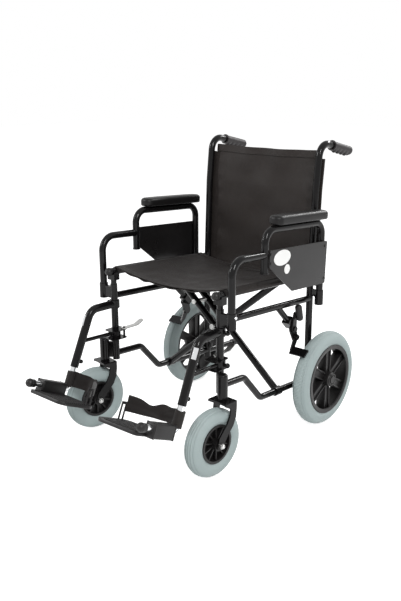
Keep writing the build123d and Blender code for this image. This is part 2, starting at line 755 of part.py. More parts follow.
def arm_pad():
    low = arm_top_z + tube_r + soft_gap
    pad = block(
        (x_arm - pad_width / 2, pad_front_y, 0), (x_arm + pad_width / 2, pad_front_y + pad_length, pad_thickness)
    )
    pad = fillet(pad.edges().filter_by(Axis.Z), pad_width / 2 - 3)
    pad = fillet(pad.faces().sort_by(Axis.Z)[-1].edges(), pad_thickness * 0.42)
    pad = Pos(0, -pad_front_y, 0) * pad
    lift = low / cos(radians(frame_pitch)) - low
    return Pos(0, pad_front_y, sloped(low, pad_front_y) + lift / 2 + 0.05) * (Rot(-frame_pitch, 0, 0) * pad)


def side_panel():
    """The skirt guard outside the armrest's legs, with its screws and spacers."""
    inner = x_arm + tube_r + 1.5
    outer = inner + panel_thickness
    top_front = sloped(panel_top_z, panel_front_y)
    top_rear = sloped(panel_top_z, panel_rear_y)
    outline = [
        (panel_front_y, top_front),
        (panel_rear_y, top_rear),
        (panel_rear_y - 6, top_rear - panel_depth),
        (panel_knee_y, sloped(panel_top_z, panel_knee_y) - panel_depth - 1),
        (panel_front_y - 2, top_front - panel_front_depth),
    ]
    panel = side_plate(outline, inner, outer)
    panel = fillet(panel.edges().filter_by(Axis.X), 6)
    for y, z in screw_places():
        panel += bar((x_arm + tube_r + 0.02, y, z), (outer + 1.6, y, z), 4.5)
    return panel


def screw_places():
    """The four screws of the side panel, as (y, z)."""
    top_front = sloped(panel_top_z, panel_front_y)
    top_rear = sloped(panel_top_z, panel_rear_y)
    return [
        (arm_leg_y + 10, top_front - 12),
        (arm_leg_y + 10, top_front - panel_front_depth + 10),
        (arm_rear_y, top_rear - 14),
        (arm_rear_y, top_rear - panel_depth + 16),
    ]


# Footrests, drawn with the lower tube's corner at the origin, the rod along -Y and the tube up Z

def foot_frame(shape):
    """Sets a footrest shape under the hanger: tilted, at the tube's corner, and turned outwards."""
    tilt = radians(hanger_tilt)
    y = hanger_knee_y - foot_drop * sin(tilt)
    z = hanger_z - foot_drop * cos(tilt)
    placed = Pos(x_frame, y, z) * (Rot(-hanger_tilt, 0, 0) * shape)
    return turned_out(placed)


def turned_out(shape):
    return Pos(x_frame, 0, 0) * (Rot(0, 0, toe_out) * (Pos(-x_frame, 0, 0) * shape))


def hanger():
    """The swing-away tube, its strut, and the two rings that turn on the front post."""
    tilt = radians(hanger_tilt)
    knee = (x_frame, hanger_knee_y, hanger_z)
    end = (
        x_frame, hanger_knee_y - hanger_length * sin(tilt), hanger_z - hanger_length * cos(tilt)
    )
    shaft, hollow = tube([(x_frame, 0, hanger_z), knee, end], hanger_d, hanger_wall, [hanger_bend_r])
    ring_r = tube_r + running + hanger_ring_wall
    solid = shaft
    for z in (hanger_z, strut_z):
        half = hanger_ring_height / 2
        solid += bar((x_frame, 0, z - half), (x_frame, 0, z + half), ring_r)
        solid += bar((x_frame, 0, z), (x_frame + ring_r + 12, 0, z), 5)
        knob = Pos(x_frame + ring_r + 10, 0, z) * Sphere(7.5)
        solid += knob
    run = (hanger_z - strut_z - 4) / cos(tilt)
    strut_y = hanger_knee_y - run * sin(tilt)
    solid += bar((x_frame, -2, strut_z), (x_frame, strut_y, strut_z + 4), strut_d / 2)
    solid -= hollow
    for z in (hanger_z, strut_z):
        half = hanger_ring_height / 2 + 1
        solid -= bar((x_frame, 0, z - half), (x_frame, 0, z + half), tube_r + running)
    clamp = Vector(x_frame, end[1] + 20 * sin(tilt), end[2] + 20 * cos(tilt))
    out = Vector(0, cos(tilt), -sin(tilt))
    head = bar(clamp + out * (hanger_d / 2 - 1), clamp + out * (hanger_d / 2 + 8), 4)
    head += Plane(origin=clamp + out * (hanger_d / 2 + 8), z_dir=out) * Sphere(6.5)
    return Compound(children=[turned_out(solid + head), hanger_catch()])


def latch_pivot():
    return x_frame - tube_r - 12, 16.0


def hanger_catch():
    """The zinc catch plates above and below the strut's ring, with the pin that the latch turns on."""
    x, y = latch_pivot()
    catch = None
    half = hanger_ring_height / 2
    ring_r = tube_r + running + hanger_ring_wall
    for z in (strut_z + half + running, strut_z - half - running - 2.5):
        plate = block((x - 8, -34, z), (x_frame + ring_r - 2, 24, z + 2.5))
        plate = fillet(plate.edges().filter_by(Axis.Z), 8)
        plate -= bar((x_frame, 0, z - 1), (x_frame, 0, z + 4), tube_r + running)
        catch = plate if catch is None else catch + plate
    catch += bar((x, y, strut_z - half - 1), (x, y, strut_z + half + 9), 3.5)
    return turned_out(catch)


def hanger_latch():
    """The flat release lever above the catch plates."""
    x, y = latch_pivot()
    low = strut_z + hanger_ring_height / 2 + 2.5 + 0.3
    lever = block((x - 9, y - 9, low), (x + 9, y + 58, low + 3))
    lever = fillet(lever.edges().filter_by(Axis.Z), 7)
    tab = block((x - 9, 0, 0), (x + 9, 30, 3))
    tab = fillet(tab.edges().filter_by(Axis.Z).sort_by(Axis.Y)[-2:], 7)
    tab = Pos(0, y + 50, low) * (Rot(24, 0, 0) * tab)
    lever += tab
    lever -= bar((x, y, low - 1), (x, y, low + 4), 3.5 + running)
    return turned_out(lever)


def footrest_tube():
    straight = foot_rod_length - 2
    shaft, hollow = tube(
        [(0, 0, foot_drop - hanger_length + foot_overlap), (0, 0, 0), (0, -straight, 0)],
        foot_rod_d, foot_rod_wall, [foot_rod_bend_r],
    )
    return foot_frame(shaft - hollow)


def footrest_cap():
    cap = Pos(0, -foot_rod_length - foot_cap_r * 0.5, 0) * Sphere(foot_cap_r)
    cap -= block((-20, -foot_rod_length + 2, -20), (20, 0, 20))
    cap += bar((0, -foot_rod_length + 2, 0), (0, -foot_rod_length + 12, 0), foot_rod_d / 2 - foot_rod_wall - running)
    collar = bar((0, -foot_rod_length - 2, 0), (0, -foot_rod_length + 8, 0), foot_rod_d / 2 + 2)
    collar -= bar((0, -foot_rod_length + 2, 0), (0, -foot_rod_length + 9, 0), foot_rod_d / 2 + running)
    return foot_frame(cap + collar)


def footplate():
    start = -foot_rod_bend_r - 1.5
    end = start - hinge_sleeve_length
    sleeve = bar((0, start, 0), (0, end, 0), hinge_sleeve_r)
    sleeve += block((-hinge_sleeve_r, end, -plate_drop - plate_thickness), (hinge_sleeve_r, start, 0))
    plate = block(
        (-plate_width, start - plate_depth, -plate_drop - plate_thickness), (-8, start, -plate_drop)
    )
    inner_edges = plate.edges().filter_by(Axis.Z).sort_by(Axis.X)[:2]
    plate = fillet(inner_edges, plate_corner_r)
    front = plate.edges().filter_by(Axis.Z).sort_by(Axis.X)[-2:].sort_by(Axis.Y)[0]
    plate = fillet(front, 12)
    bracket = block((-plate_width + 2, start - 34, -plate_drop - 1), (-plate_width + 6, start - 26, 26))
    solid = sleeve + plate + bracket
    solid -= bar((0, start + 1, 0), (0, end - 1, 0), foot_rod_d / 2 + running)
    solid -= bar((0, start - plate_depth - 5, 0), (0, end, 0), foot_rod_d / 2 + 3)
    return foot_frame(solid)


def heel_loop():
    """The strap behind the heel, from the footrest tube to the bracket on the footplate."""
    start = (-foot_rod_d / 2 - 1, 4)
    end = (-plate_width + 6 + soft_gap + loop_thickness / 2, -foot_rod_bend_r - 30)
    middle = ((start[0] + end[0]) / 2, loop_bow)
    line = ThreePointArc(start, middle, end)
    band = offset(line, loop_thickness / 2, side=Side.BOTH)
    face = make_face(band) if not isinstance(band, Face) else band
    strap = extrude(face, loop_height)
    return foot_frame(Pos(0, 0, loop_lift) * strap)


# Assembly

def at_wheel(shape):
    return Pos(x_wheel, wheel_y, wheel_r) * shape


def at_caster_swivel(shape, side):
    sign = 1 if side == "left" else -1
    return Pos(sign * x_caster, y_caster, 0) * (Rot(0, 0, caster_turn[side]) * shape)


def at_caster_wheel(shape, side):
    return at_caster_swivel(Pos(0, -caster_trail, caster_r) * shape, side)


def mirrored(shape, side):
    return shape if side == "left" else mirror(shape, about=Plane.YZ)


def build():
    """Every node by name, in the drawing frame with Y = 0 at the front posts."""
    nodes = {
        "seat_sling": seat_sling(),
        "back_sling": back_sling(),
        "centre_pivot": centre_pivot(),
    }
    fixed = {
        "front_post": front_post(),
        "rear_post": rear_post(),
        "rails": rails(),
        "saddles": saddles(),
        "tipping_cap": tipping_cap(),
        "hand_grip": hand_grip(),
        "brake_bracket": brake_bracket(),
        "brake_lever": brake_lever(),
        "brake_shoe": brake_shoe(),
        "rear_axle": at_wheel(rear_axle()),
        "rear_wheel": at_wheel(rear_wheel()),
        "rear_tyre": at_wheel(rear_tyre()),
        "armrest_tube": armrest_tube(),
        "arm_button": arm_button(),
        "arm_pad": arm_pad(),
        "side_panel": side_panel(),
        "hanger": hanger(),
        "hanger_latch": hanger_latch(),
        "footrest_tube": footrest_tube(),
        "footrest_cap": footrest_cap(),
        "footplate": footplate(),
        "heel_loop": heel_loop(),
    }
    turning = {
        "caster_fork": (caster_fork(), at_caster_swivel),
        "caster_axle": (caster_axle(), at_caster_wheel),
        "caster_wheel": (caster_wheel(), at_caster_wheel),
        "caster_tyre": (caster_tyre(), at_caster_wheel),
    }
    left_brace = brace_with_rail(rear_plane, strut_plane)
    right_brace = mirror(brace_with_rail(front_plane), about=Plane.YZ)
    nodes["left_cross_brace"] = pitched(left_brace)
    nodes["right_cross_brace"] = pitched(right_brace)
    nodes["right_rail_caps"] = seat_rail_caps()
    nodes["left_rail_caps"] = mirror(seat_rail_caps(), about=Plane.YZ)
    for side in ("left", "right"):
        for name, shape in fixed.items():
            nodes[side + "_" + name] = mirrored(shape, side)
        for name, (shape, place) in turning.items():
            nodes[side + "_" + name] = place(mirrored(shape, side), side)
    return nodes


nodes = build()
boxes = [shape.bounding_box() for shape in nodes.values()]
middle_y = (min(b.min.Y for b in boxes) + max(b.max.Y for b in boxes)) / 2

for name, shape in nodes.items():
    export_step(Pos(0, -middle_y, 0) * shape, "parts/" + name + ".step")
print(len(nodes), "nodes, middle at", round(middle_y, 3))
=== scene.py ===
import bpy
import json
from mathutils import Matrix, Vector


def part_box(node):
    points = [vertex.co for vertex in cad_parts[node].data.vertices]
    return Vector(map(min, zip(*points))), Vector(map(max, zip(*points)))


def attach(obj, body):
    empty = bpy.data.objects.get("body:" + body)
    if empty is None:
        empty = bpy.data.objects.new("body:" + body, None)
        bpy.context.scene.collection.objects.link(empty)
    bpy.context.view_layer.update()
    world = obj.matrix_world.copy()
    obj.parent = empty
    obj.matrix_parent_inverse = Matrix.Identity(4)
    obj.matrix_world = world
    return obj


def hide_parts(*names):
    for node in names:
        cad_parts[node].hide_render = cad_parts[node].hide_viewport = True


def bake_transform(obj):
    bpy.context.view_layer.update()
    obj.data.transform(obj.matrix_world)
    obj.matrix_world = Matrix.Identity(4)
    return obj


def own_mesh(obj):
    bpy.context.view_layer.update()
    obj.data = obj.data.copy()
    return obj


bl_info = {
    "name": "Transport Chair Dresser",
    "version": (1, 0, 0),
    "blender": (4, 5, 0),
    "location": "View3D > Sidebar > Chair",
    "description": "Dresses the packed chair frame with cloth, pads, tyres, plates and finishes",
    "category": "Object",
}

import json
import math

import bmesh
import bpy
from mathutils import Matrix, Vector, noise

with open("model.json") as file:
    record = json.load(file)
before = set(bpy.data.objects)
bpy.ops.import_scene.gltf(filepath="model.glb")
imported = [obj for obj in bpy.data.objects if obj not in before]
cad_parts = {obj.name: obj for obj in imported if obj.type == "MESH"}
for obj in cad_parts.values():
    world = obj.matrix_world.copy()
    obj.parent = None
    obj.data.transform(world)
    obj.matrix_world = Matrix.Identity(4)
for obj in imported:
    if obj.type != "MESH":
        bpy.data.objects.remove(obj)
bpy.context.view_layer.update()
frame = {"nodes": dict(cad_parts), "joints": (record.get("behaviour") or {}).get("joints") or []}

JOINTS = {joint["name"]: joint for joint in frame["joints"]}
SIDES = ("left", "right")
SIGN = {"left": 1, "right": -1}

# Sizes that the frame's boxes don't give directly, as the solids have them
FRAME_PITCH = math.radians(3.4)
POST_RADIUS = 0.011
CANE_LEAN = 0.014
CANE_UPPER_LEAN = 0.016
CANE_KNEE_HEIGHT = 0.745
HANDLE_CORNER_HEIGHT = 0.8916
CANE_FOOT_HEIGHT = 0.431
HANDLE_DROOP = math.radians(12.6)
PAD_THICKNESS = 0.028
FOOT_ROD_BEND = 0.016
PLATE_DROP = 0.015
PLATE_THICKNESS = 0.010
PLATE_WIDTH = 0.160
PLATE_DEPTH = 0.128
HINGE_BLOCK_LENGTH = 0.090
HINGE_BLOCK_HALF = 0.017
HOLE_ROW_START = 0.084
HOLE_ROW_PITCH = 0.0205
HANDLE_LENGTH = 0.167
GRIP_LENGTH = 0.105
GRIP_RADIUS = 0.0142
GRIP_FINGERS = 5
CASTER_RADIUS = 0.100
CASTER_SECTION = 0.025
CASTER_SEAT = 0.0545
WHEEL_RADIUS = 0.152
WHEEL_SECTION = 0.027
WHEEL_SEAT = 0.1105
WHEEL_SPOKES = 6

# How the cloth lies on its tubes
CLOTH_CLEARANCE = 0.0014
SEAT_WRAP_SHARE = 0.14
SEAT_WRAP_START = math.radians(115)
SEAT_WRAP_ANGLE = math.radians(205)

# Depth of the finest grain on every moulded or coated surface
GRAIN_DEPTH = 0.0004


def box_centre(node):
    low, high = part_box(node)
    return (low + high) / 2


FRAME_X = box_centre("left_hand_grip").x
POST_Y = box_centre("left_rear_axle").y


class ChairColours(bpy.types.PropertyGroup):
    paint: bpy.props.FloatVectorProperty(
        name="Frame paint", description="Gloss coating of the tubes", subtype="COLOR",
        size=3, min=0, max=1, default=(0.0042, 0.0038, 0.0040))
    cloth: bpy.props.FloatVectorProperty(
        name="Cloth", description="Woven cloth of the seat, back and heel loops", subtype="COLOR",
        size=3, min=0, max=1, default=(0.0150, 0.0112, 0.0098))
    thread: bpy.props.FloatVectorProperty(
        name="Thread", description="Sewing thread on the hems", subtype="COLOR",
        size=3, min=0, max=1, default=(0.035, 0.030, 0.028))
    tyre: bpy.props.FloatVectorProperty(
        name="Tyre", description="Non-marking rubber of all four tyres", subtype="COLOR",
        size=3, min=0, max=1, default=(0.300, 0.360, 0.358))
    plastic: bpy.props.FloatVectorProperty(
        name="Moulded plastic", description="Wheel centres, panels, plates and caps", subtype="COLOR",
        size=3, min=0, max=1, default=(0.0085, 0.0078, 0.0080))
    pad: bpy.props.FloatVectorProperty(
        name="Arm pad skin", description="Skinned foam of the arm pads", subtype="COLOR",
        size=3, min=0, max=1, default=(0.0060, 0.0056, 0.0058))
    label: bpy.props.FloatVectorProperty(
        name="Blank label", description="Plain face of the oval plate on the side panel", subtype="COLOR",
        size=3, min=0, max=1, default=(0.80, 0.80, 0.79))


class ChairSizes(bpy.types.PropertyGroup):
    cloth_thickness: bpy.props.FloatProperty(
        name="Cloth thickness", description="Thickness of the sling cloth", unit="LENGTH", default=0.0018)
    seat_sag: bpy.props.FloatProperty(
        name="Seat sag", description="How far the seat cloth hangs between the rails", unit="LENGTH",
        default=0.024)
    back_sag: bpy.props.FloatProperty(
        name="Back sag", description="How far the back cloth bows to the rear", unit="LENGTH", default=0.016)
    hem: bpy.props.FloatProperty(
        name="Hem width", description="Width of the turned hems", unit="LENGTH", default=0.024)
    stitch_pitch: bpy.props.FloatProperty(
        name="Stitch pitch", description="Distance from stitch to stitch", unit="LENGTH", default=0.0045)
    tread_depth: bpy.props.FloatProperty(
        name="Tread depth", description="Depth of the tyre grooves", unit="LENGTH", default=0.0030)
    pad_crown: bpy.props.FloatProperty(
        name="Pad crown", description="How far the arm pad's middle stands above its edge", unit="LENGTH",
        default=0.006)
    plate_ribs: bpy.props.IntProperty(
        name="Footplate ribs", description="Number of raised ribs across a footplate", default=15, min=2)


# Shader node groups that several finishes share

def new_group(name, inputs, outputs):
    """A shader node group with float, vector or colour sockets; returns it with its two end nodes."""
    group = bpy.data.node_groups.new(name, "ShaderNodeTree")
    kinds = {"float": "NodeSocketFloat", "vector": "NodeSocketVector", "color": "NodeSocketColor"}
    for socket, kind, default in inputs:
        made = group.interface.new_socket(socket, in_out="INPUT", socket_type=kinds[kind])
        if default is not None:
            made.default_value = default
    for socket, kind in outputs:
        group.interface.new_socket(socket, in_out="OUTPUT", socket_type=kinds[kind])
    start = group.nodes.new("NodeGroupInput")
    end = group.nodes.new("NodeGroupOutput")
    return group, start, end


def add_node(tree, kind, values=None, links=None):
    """A shader node with the values of its inputs and the sockets that feed them."""
    node = tree.nodes.new(kind)
    for key, value in (values or {}).items():
        node.inputs[key].default_value = value
    for key, socket in (links or {}).items():
        tree.links.new(socket, node.inputs[key])
    return node


def group_math(group, operation, a, b=None):
    """A Math node in a group or a material, whose inputs are sockets or numbers; returns its output."""
    node = group.nodes.new("ShaderNodeMath")
    node.operation = operation
    for index, value in enumerate((a, b)):
        if value is None:
            continue
        if isinstance(value, (int, float)):
            node.inputs[index].default_value = value
        else:
            group.links.new(value, node.inputs[index])
    return node.outputs[0]


def tone_drift_group():
    """Slow and fine changes of a base colour, as in worn or moulded surfaces."""
    group, start, end = new_group(
        "Tone Drift",
        [("Colour", "color", None), ("Drift", "float", 0.2), ("Scale", "float", 8.0)],
        [("Colour", "color"), ("Mask", "float")])
    coords = add_node(group, "ShaderNodeTexCoord")
    broad = add_node(
        group, "ShaderNodeTexNoise", {"Detail": 6.0, "Roughness": 0.62},
        {"Vector": coords.outputs["Object"], "Scale": start.outputs["Scale"]})
    centred = group_math(group, "SUBTRACT", broad.outputs["Fac"], 0.5)
    scaled = group_math(group, "MULTIPLY", centred, start.outputs["Drift"])
    factor = group_math(group, "ADD", scaled, 1.0)
    mix = group.nodes.new("ShaderNodeVectorMath")
    mix.operation = "SCALE"
    group.links.new(start.outputs["Colour"], mix.inputs[0])
    group.links.new(factor, mix.inputs["Scale"])
    group.links.new(mix.outputs[0], end.inputs["Colour"])
    group.links.new(broad.outputs["Fac"], end.inputs["Mask"])
    return group


def fine_grain_group():
    """A small random height, for orange peel, moulded grain or skin."""
    group, start, end = new_group(
        "Fine Grain",
        [("Scale", "float", 600.0), ("Softness", "float", 0.5)],
        [("Height", "float")])
    coords = add_node(group, "ShaderNodeTexCoord")
    grain = add_node(
        group, "ShaderNodeTexNoise", {"Detail": 3.0},
        {"Vector": coords.outputs["Object"], "Scale": start.outputs["Scale"],
         "Roughness": start.outputs["Softness"]})
    group.links.new(grain.outputs["Fac"], end.inputs["Height"])
    return group


def weave_group():
    """Plain weave from two crossed waves of threads, in the plane that the vector's X and Y span."""
    group, start, end = new_group(
        "Plain Weave",
        [("Vector", "vector", None), ("Pitch", "float", 0.0009)],
        [("Height", "float")])
    split = add_node(group, "ShaderNodeSeparateXYZ", links={"Vector": start.outputs["Vector"]})
    turns = group_math(group, "DIVIDE", math.pi, start.outputs["Pitch"])
    along = group_math(group, "MULTIPLY", split.outputs["X"], turns)
    across = group_math(group, "MULTIPLY", split.outputs["Y"], turns)
    warp = group_math(group, "SINE", along)
    weft = group_math(group, "SINE", across)
    product = group_math(group, "MULTIPLY", warp, weft)
    warp_round = group_math(group, "ABSOLUTE", warp)
    weft_round = group_math(group, "ABSOLUTE", weft)
    ridge = group_math(group, "MULTIPLY", warp_round, weft_round)
    height = group_math(group, "ADD", ridge, group_math(group, "MULTIPLY", product, 0.5))
    group.links.new(height, end.inputs["Height"])
    return group


def dust_group():
    """More on faces that look up, broken up by noise."""
    group, start, end = new_group("Settled Dust", [("Amount", "float", 0.2)], [("Mask", "float")])
    geometry = add_node(group, "ShaderNodeNewGeometry")
    split = add_node(group, "ShaderNodeSeparateXYZ", links={"Vector": geometry.outputs["Normal"]})
    coords = add_node(group, "ShaderNodeTexCoord")
    speck = add_node(
        group, "ShaderNodeTexNoise", {"Scale": 45.0, "Detail": 8.0}, {"Vector": coords.outputs["Object"]})
    upward = group_math(group, "MAXIMUM", split.outputs["Z"], 0.0)
    broken = group_math(group, "MULTIPLY", upward, speck.outputs["Fac"])
    group.links.new(group_math(group, "MULTIPLY", broken, start.outputs["Amount"]), end.inputs["Mask"])
    return group


GROUPS = {}


def place_group(tree, name, **values):
    node = tree.nodes.new("ShaderNodeGroup")
    node.node_tree = GROUPS[name]
    for key, value in values.items():
        node.inputs[key].default_value = value
    return node


def base_material(name, colour, roughness, drift, drift_scale, metallic=0.0):
    """A Principled material with a drifting base colour; returns it with its shader and drift nodes."""
    material = bpy.data.materials.new(name)
    material.use_nodes = True
    tree = material.node_tree
    shader = tree.nodes["Principled BSDF"]
    shader.inputs["Metallic"].default_value = metallic
    shader.inputs["Roughness"].default_value = roughness
    tone = place_group(tree, "Tone Drift", Colour=(*colour, 1.0), Drift=drift, Scale=drift_scale)
    tree.links.new(tone.outputs["Colour"], shader.inputs["Base Color"])
    return material, tree, shader, tone


def rough_range(tree, shader, mask, low, high):
    """Roughness between two values by a mask."""
    spread = add_node(
        tree, "ShaderNodeMapRange", {"From Min": 0.3, "From Max": 0.7, "To Min": low, "To Max": high},
        {"Value": mask})
    tree.links.new(spread.outputs["Result"], shader.inputs["Roughness"])


def bump(tree, shader, height, strength, distance):
    node = add_node(
        tree, "ShaderNodeBump", {"Strength": strength, "Distance": distance}, {"Height": height})
    tree.links.new(node.outputs["Normal"], shader.inputs["Normal"])


def grained(name, colour, rough, grain_scale, grain_strength, drift=0.25, drift_scale=14.0, metallic=0.0,
            specular=0.30):
    """A finish with drifting colour and roughness and a fine grain; a metal keeps its own gloss level."""
    material, tree, shader, tone = base_material(name, colour, sum(rough) / 2, drift, drift_scale, metallic)
    rough_range(tree, shader, tone.outputs["Mask"], *rough)
    grain = place_group(tree, "Fine Grain", Scale=grain_scale)
    bump(tree, shader, grain.outputs["Height"], grain_strength, GRAIN_DEPTH)
    if not metallic:
        shader.inputs["Specular IOR Level"].default_value = specular
    return material


def cloth_material(name, colour, turn, pitch=0.0011):
    """Woven nylon whose threads lie in the plane that a turn of the object's axes brings to X and Y."""
    material, tree, shader, tone = base_material(name, colour, 0.62, 0.35, 9.0)
    coords = add_node(tree, "ShaderNodeTexCoord")
    mapping = add_node(
        tree, "ShaderNodeMapping", {"Rotation": turn}, {"Vector": coords.outputs["Object"]})
    weave = place_group(tree, "Plain Weave", Pitch=pitch)
    tree.links.new(mapping.outputs["Vector"], weave.inputs["Vector"])
    rough_range(tree, shader, tone.outputs["Mask"], 0.50, 0.72)
    bump(tree, shader, weave.outputs["Height"], 0.5, 0.0003)
    shader.inputs["Sheen Weight"].default_value = 0.05
    shader.inputs["Sheen Roughness"].default_value = 0.45
    shader.inputs["Specular IOR Level"].default_value = 0.25
    return material


def build_materials():
    """Every finish of the chair, by a plain name."""
    colours = bpy.context.scene.chair_colours
    GROUPS["Tone Drift"] = tone_drift_group()
    GROUPS["Fine Grain"] = fine_grain_group()
    GROUPS["Plain Weave"] = weave_group()
    GROUPS["Settled Dust"] = dust_group()
    lying, upright = (0.0, 0.0, 0.0), (math.pi / 2, 0.0, 0.0)
    # The seat cloth is the back cloth made a quarter darker: painted shade on the seat.
    seat_shade_colour = [c * 0.75 for c in colours.cloth]
    loop_colour = [c * 0.6 for c in colours.cloth]
    return {
        "paint": grained("Frame Paint", colours.paint, (0.12, 0.22), 420.0, 0.04, specular=0.20),
        "plastic": grained("Moulded Plastic", colours.plastic, (0.34, 0.50), 900.0, 0.16),
        "panel": grained("Panel Plastic", colours.plastic, (0.26, 0.38), 700.0, 0.10),
        "pad": grained("Pad Skin", colours.pad, (0.34, 0.46), 520.0, 0.05, specular=0.22),
        "cap": grained("Cap Rubber", colours.plastic, (0.42, 0.60), 800.0, 0.2),
        "grip": grained("Grip Rubber", (0.020, 0.017, 0.018), (0.40, 0.58), 650.0, 0.25),
        "zinc": grained("Zinc Plate", (0.50, 0.50, 0.49), (0.24, 0.44), 300.0, 0.08, 0.2, 30.0, 1.0),
        "chrome": grained("Chrome", (0.72, 0.73, 0.74), (0.06, 0.14), 200.0, 0.02, 0.08, 20.0, 1.0),
        "tyre": tyre_material(colours.tyre),
        "seat_cloth": cloth_material("Sling Cloth Painted Shade", seat_shade_colour, lying),
        "back_cloth": cloth_material("Back Cloth", colours.cloth, upright),
        "loop_cloth": cloth_material("Loop Cloth", loop_colour, upright, 0.0014),
        "thread": grained("Sewing Thread", colours.thread, (0.5, 0.7), 1500.0, 0.2),
        "label": grained("Blank Label", colours.label, (0.28, 0.40), 300.0, 0.03, 0.06),
        "dark": grained("Hole Shadow", (0.004, 0.004, 0.004), (0.7, 0.8), 300.0, 0.02),
    }


def tyre_material(colour):
    """Grey rubber with settled dust on the faces that look up."""
    material, tree, shader, tone = base_material("Tyre Rubber", colour, 0.62, 0.16, 22.0)
    dust = place_group(tree, "Settled Dust", Amount=0.35)
    mix = tree.nodes.new("ShaderNodeMix")
    mix.data_type = "RGBA"
    mix.inputs["B"].default_value = (0.50, 0.55, 0.55, 1.0)
    tree.links.new(dust.outputs["Mask"], mix.inputs["Factor"])
    tree.links.new(tone.outputs["Colour"], mix.inputs["A"])
    tree.links.new(mix.outputs["Result"], shader.inputs["Base Color"])
    rough_range(tree, shader, tone.outputs["Mask"], 0.48, 0.66)
    grain = place_group(tree, "Fine Grain", Scale=500.0)
    bump(tree, shader, grain.outputs["Height"], 0.12, GRAIN_DEPTH)
    return material


MATERIALS = {}

# Making and placing pieces


def add_piece(bm, name, body, material, smooth_angle=40.0):
    """Puts a finished bmesh in the scene as a piece that rides on a body."""
    mesh = bpy.data.meshes.new(name)
    bm.to_mesh(mesh)
    bm.free()
    piece = bpy.data.objects.new(name, mesh)
    bpy.context.scene.collection.objects.link(piece)
    mesh.materials.append(MATERIALS[material])
    if smooth_angle:
        mesh.shade_smooth()
        mesh.set_sharp_from_angle(angle=math.radians(smooth_angle))
    if body:
        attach(piece, body)
    return piece


def joint_matrix(name, side):
    """The place of a joint whose axis is a piece's local X on the left and its mirror on the right."""
    joint = JOINTS[name]
    x_axis = Vector(joint["axis"]).normalized()
    z_axis = Vector((0, 0, 1))
    y_axis = z_axis.cross(x_axis).normalized()
    z_axis = x_axis.cross(y_axis)
    turn = Matrix((x_axis, y_axis, z_axis)).transposed().to_4x4()
    place = Matrix.Translation(Vector(joint["pos_m"])) @ turn
    if SIGN[side] < 0:
        place = place @ Matrix.Diagonal((-1, 1, 1, 1))
    return place


def settle(bm, matrix):
    """Places a bmesh and makes its faces point outwards."""
    bm.transform(matrix)
    bmesh.ops.remove_doubles(bm, verts=bm.verts, dist=1e-6)
    bmesh.ops.recalc_face_normals(bm, faces=bm.faces)


def lathe(profile, steps, closed=True):
    """Spins a profile of (along X, radius) points around X."""
    bm = bmesh.new()
    verts = [bm.verts.new((x, 0, r)) for x, r in profile]
    pairs = list(zip(verts, verts[1:]))
    if closed:
        pairs.append((verts[-1], verts[0]))
    edges = [bm.edges.new(pair) for pair in pairs]
    bmesh.ops.spin(
        bm, geom=verts + edges, cent=(0, 0, 0), axis=(1, 0, 0), angle=math.tau, steps=steps, use_merge=True)
    return bm


def round_edges(bm, edges, offset, segments):
    """Rounds some edges of a bmesh."""
    bmesh.ops.bevel(
        bm, geom=edges, offset=offset, offset_type="OFFSET", affect="EDGES", segments=segments, profile=0.5,
        material=-1)


def add_box(bm, low, high, bevel=0.0, segments=2):
    """Adds a box to a bmesh from its corners, with its edges rounded."""
    made = bmesh.ops.create_cube(bm, size=1.0)["verts"]
    size = Vector(high) - Vector(low)
    middle = (Vector(high) + Vector(low)) / 2
    bmesh.ops.scale(bm, vec=size, verts=made)
    bmesh.ops.translate(bm, vec=middle, verts=made)
    if bevel:
        round_edges(bm, list({e for v in made for e in v.link_edges}), bevel, segments)


def add_drum(bm, start, end, radius, segments, bevel=0.0):
    """Adds a round bar between two points, with its rims rounded."""
    start, end = Vector(start), Vector(end)
    run = end - start
    turn = run.to_track_quat("Z", "Y").to_matrix().to_4x4()
    matrix = Matrix.Translation((start + end) / 2) @ turn
    made = bmesh.ops.create_cone(
        bm, cap_ends=True, segments=segments, radius1=radius, radius2=radius, depth=run.length,
        matrix=matrix)["verts"]
    if bevel:
        caps = [f for f in {f for v in made for f in v.link_faces} if len(f.verts) == segments]
        round_edges(bm, list({e for f in caps for e in f.edges}), bevel, 3)


def give_thickness(bm, thickness):
    """Turns an open sheet into a closed one, with half its thickness on each side."""
    bmesh.ops.recalc_face_normals(bm, faces=bm.faces)
    for vert in bm.verts:
        vert.co += vert.normal * thickness / 2
    bmesh.ops.solidify(bm, geom=bm.faces[:], thickness=thickness)
    bmesh.ops.recalc_face_normals(bm, faces=bm.faces)


def stitch_row(bm, points, normals, pitch, size):
    """Adds a row of small raised stitches along a line of points."""
    run = 0.0
    for index in range(1, len(points)):
        a, b = points[index - 1], points[index]
        step = (b - a).length
        if step < 1e-9:
            continue
        while run < step:
            spot = a.lerp(b, run / step)
            direction = (b - a).normalized()
            normal = normals[index].normalized()
            side = direction.cross(normal).normalized()
            turn = Matrix((direction, side, normal)).transposed().to_4x4()
            made = bmesh.ops.create_cube(bm, size=1.0)["verts"]
            bmesh.ops.scale(bm, vec=(pitch * 0.62, size, size), verts=made)
            place = Matrix.Translation(spot + normal * size * 0.2) @ turn
            bmesh.ops.transform(bm, matrix=place, verts=made)
            run += pitch
        run -= step


# The frame's own solids


SOLID_FINISH = {
    "front_post": "paint", "rails": "paint", "rear_post": "paint", "saddles": "paint", "brake_bracket": "paint",
    "rear_axle": "plastic", "tipping_cap": "cap", "brake_lever": "plastic", "brake_shoe": "paint",
    "armrest_tube": "paint", "arm_button": "chrome", "side_panel": "panel", "hanger": "paint",
    "hanger_latch": "zinc", "footrest_tube": "chrome", "footrest_cap": "plastic", "caster_fork": "paint",
    "caster_axle": "zinc", "caster_wheel": "plastic", "cross_brace": "paint", "rail_caps": "plastic",
    "rear_wheel": "plastic", "footplate": "plastic",
}


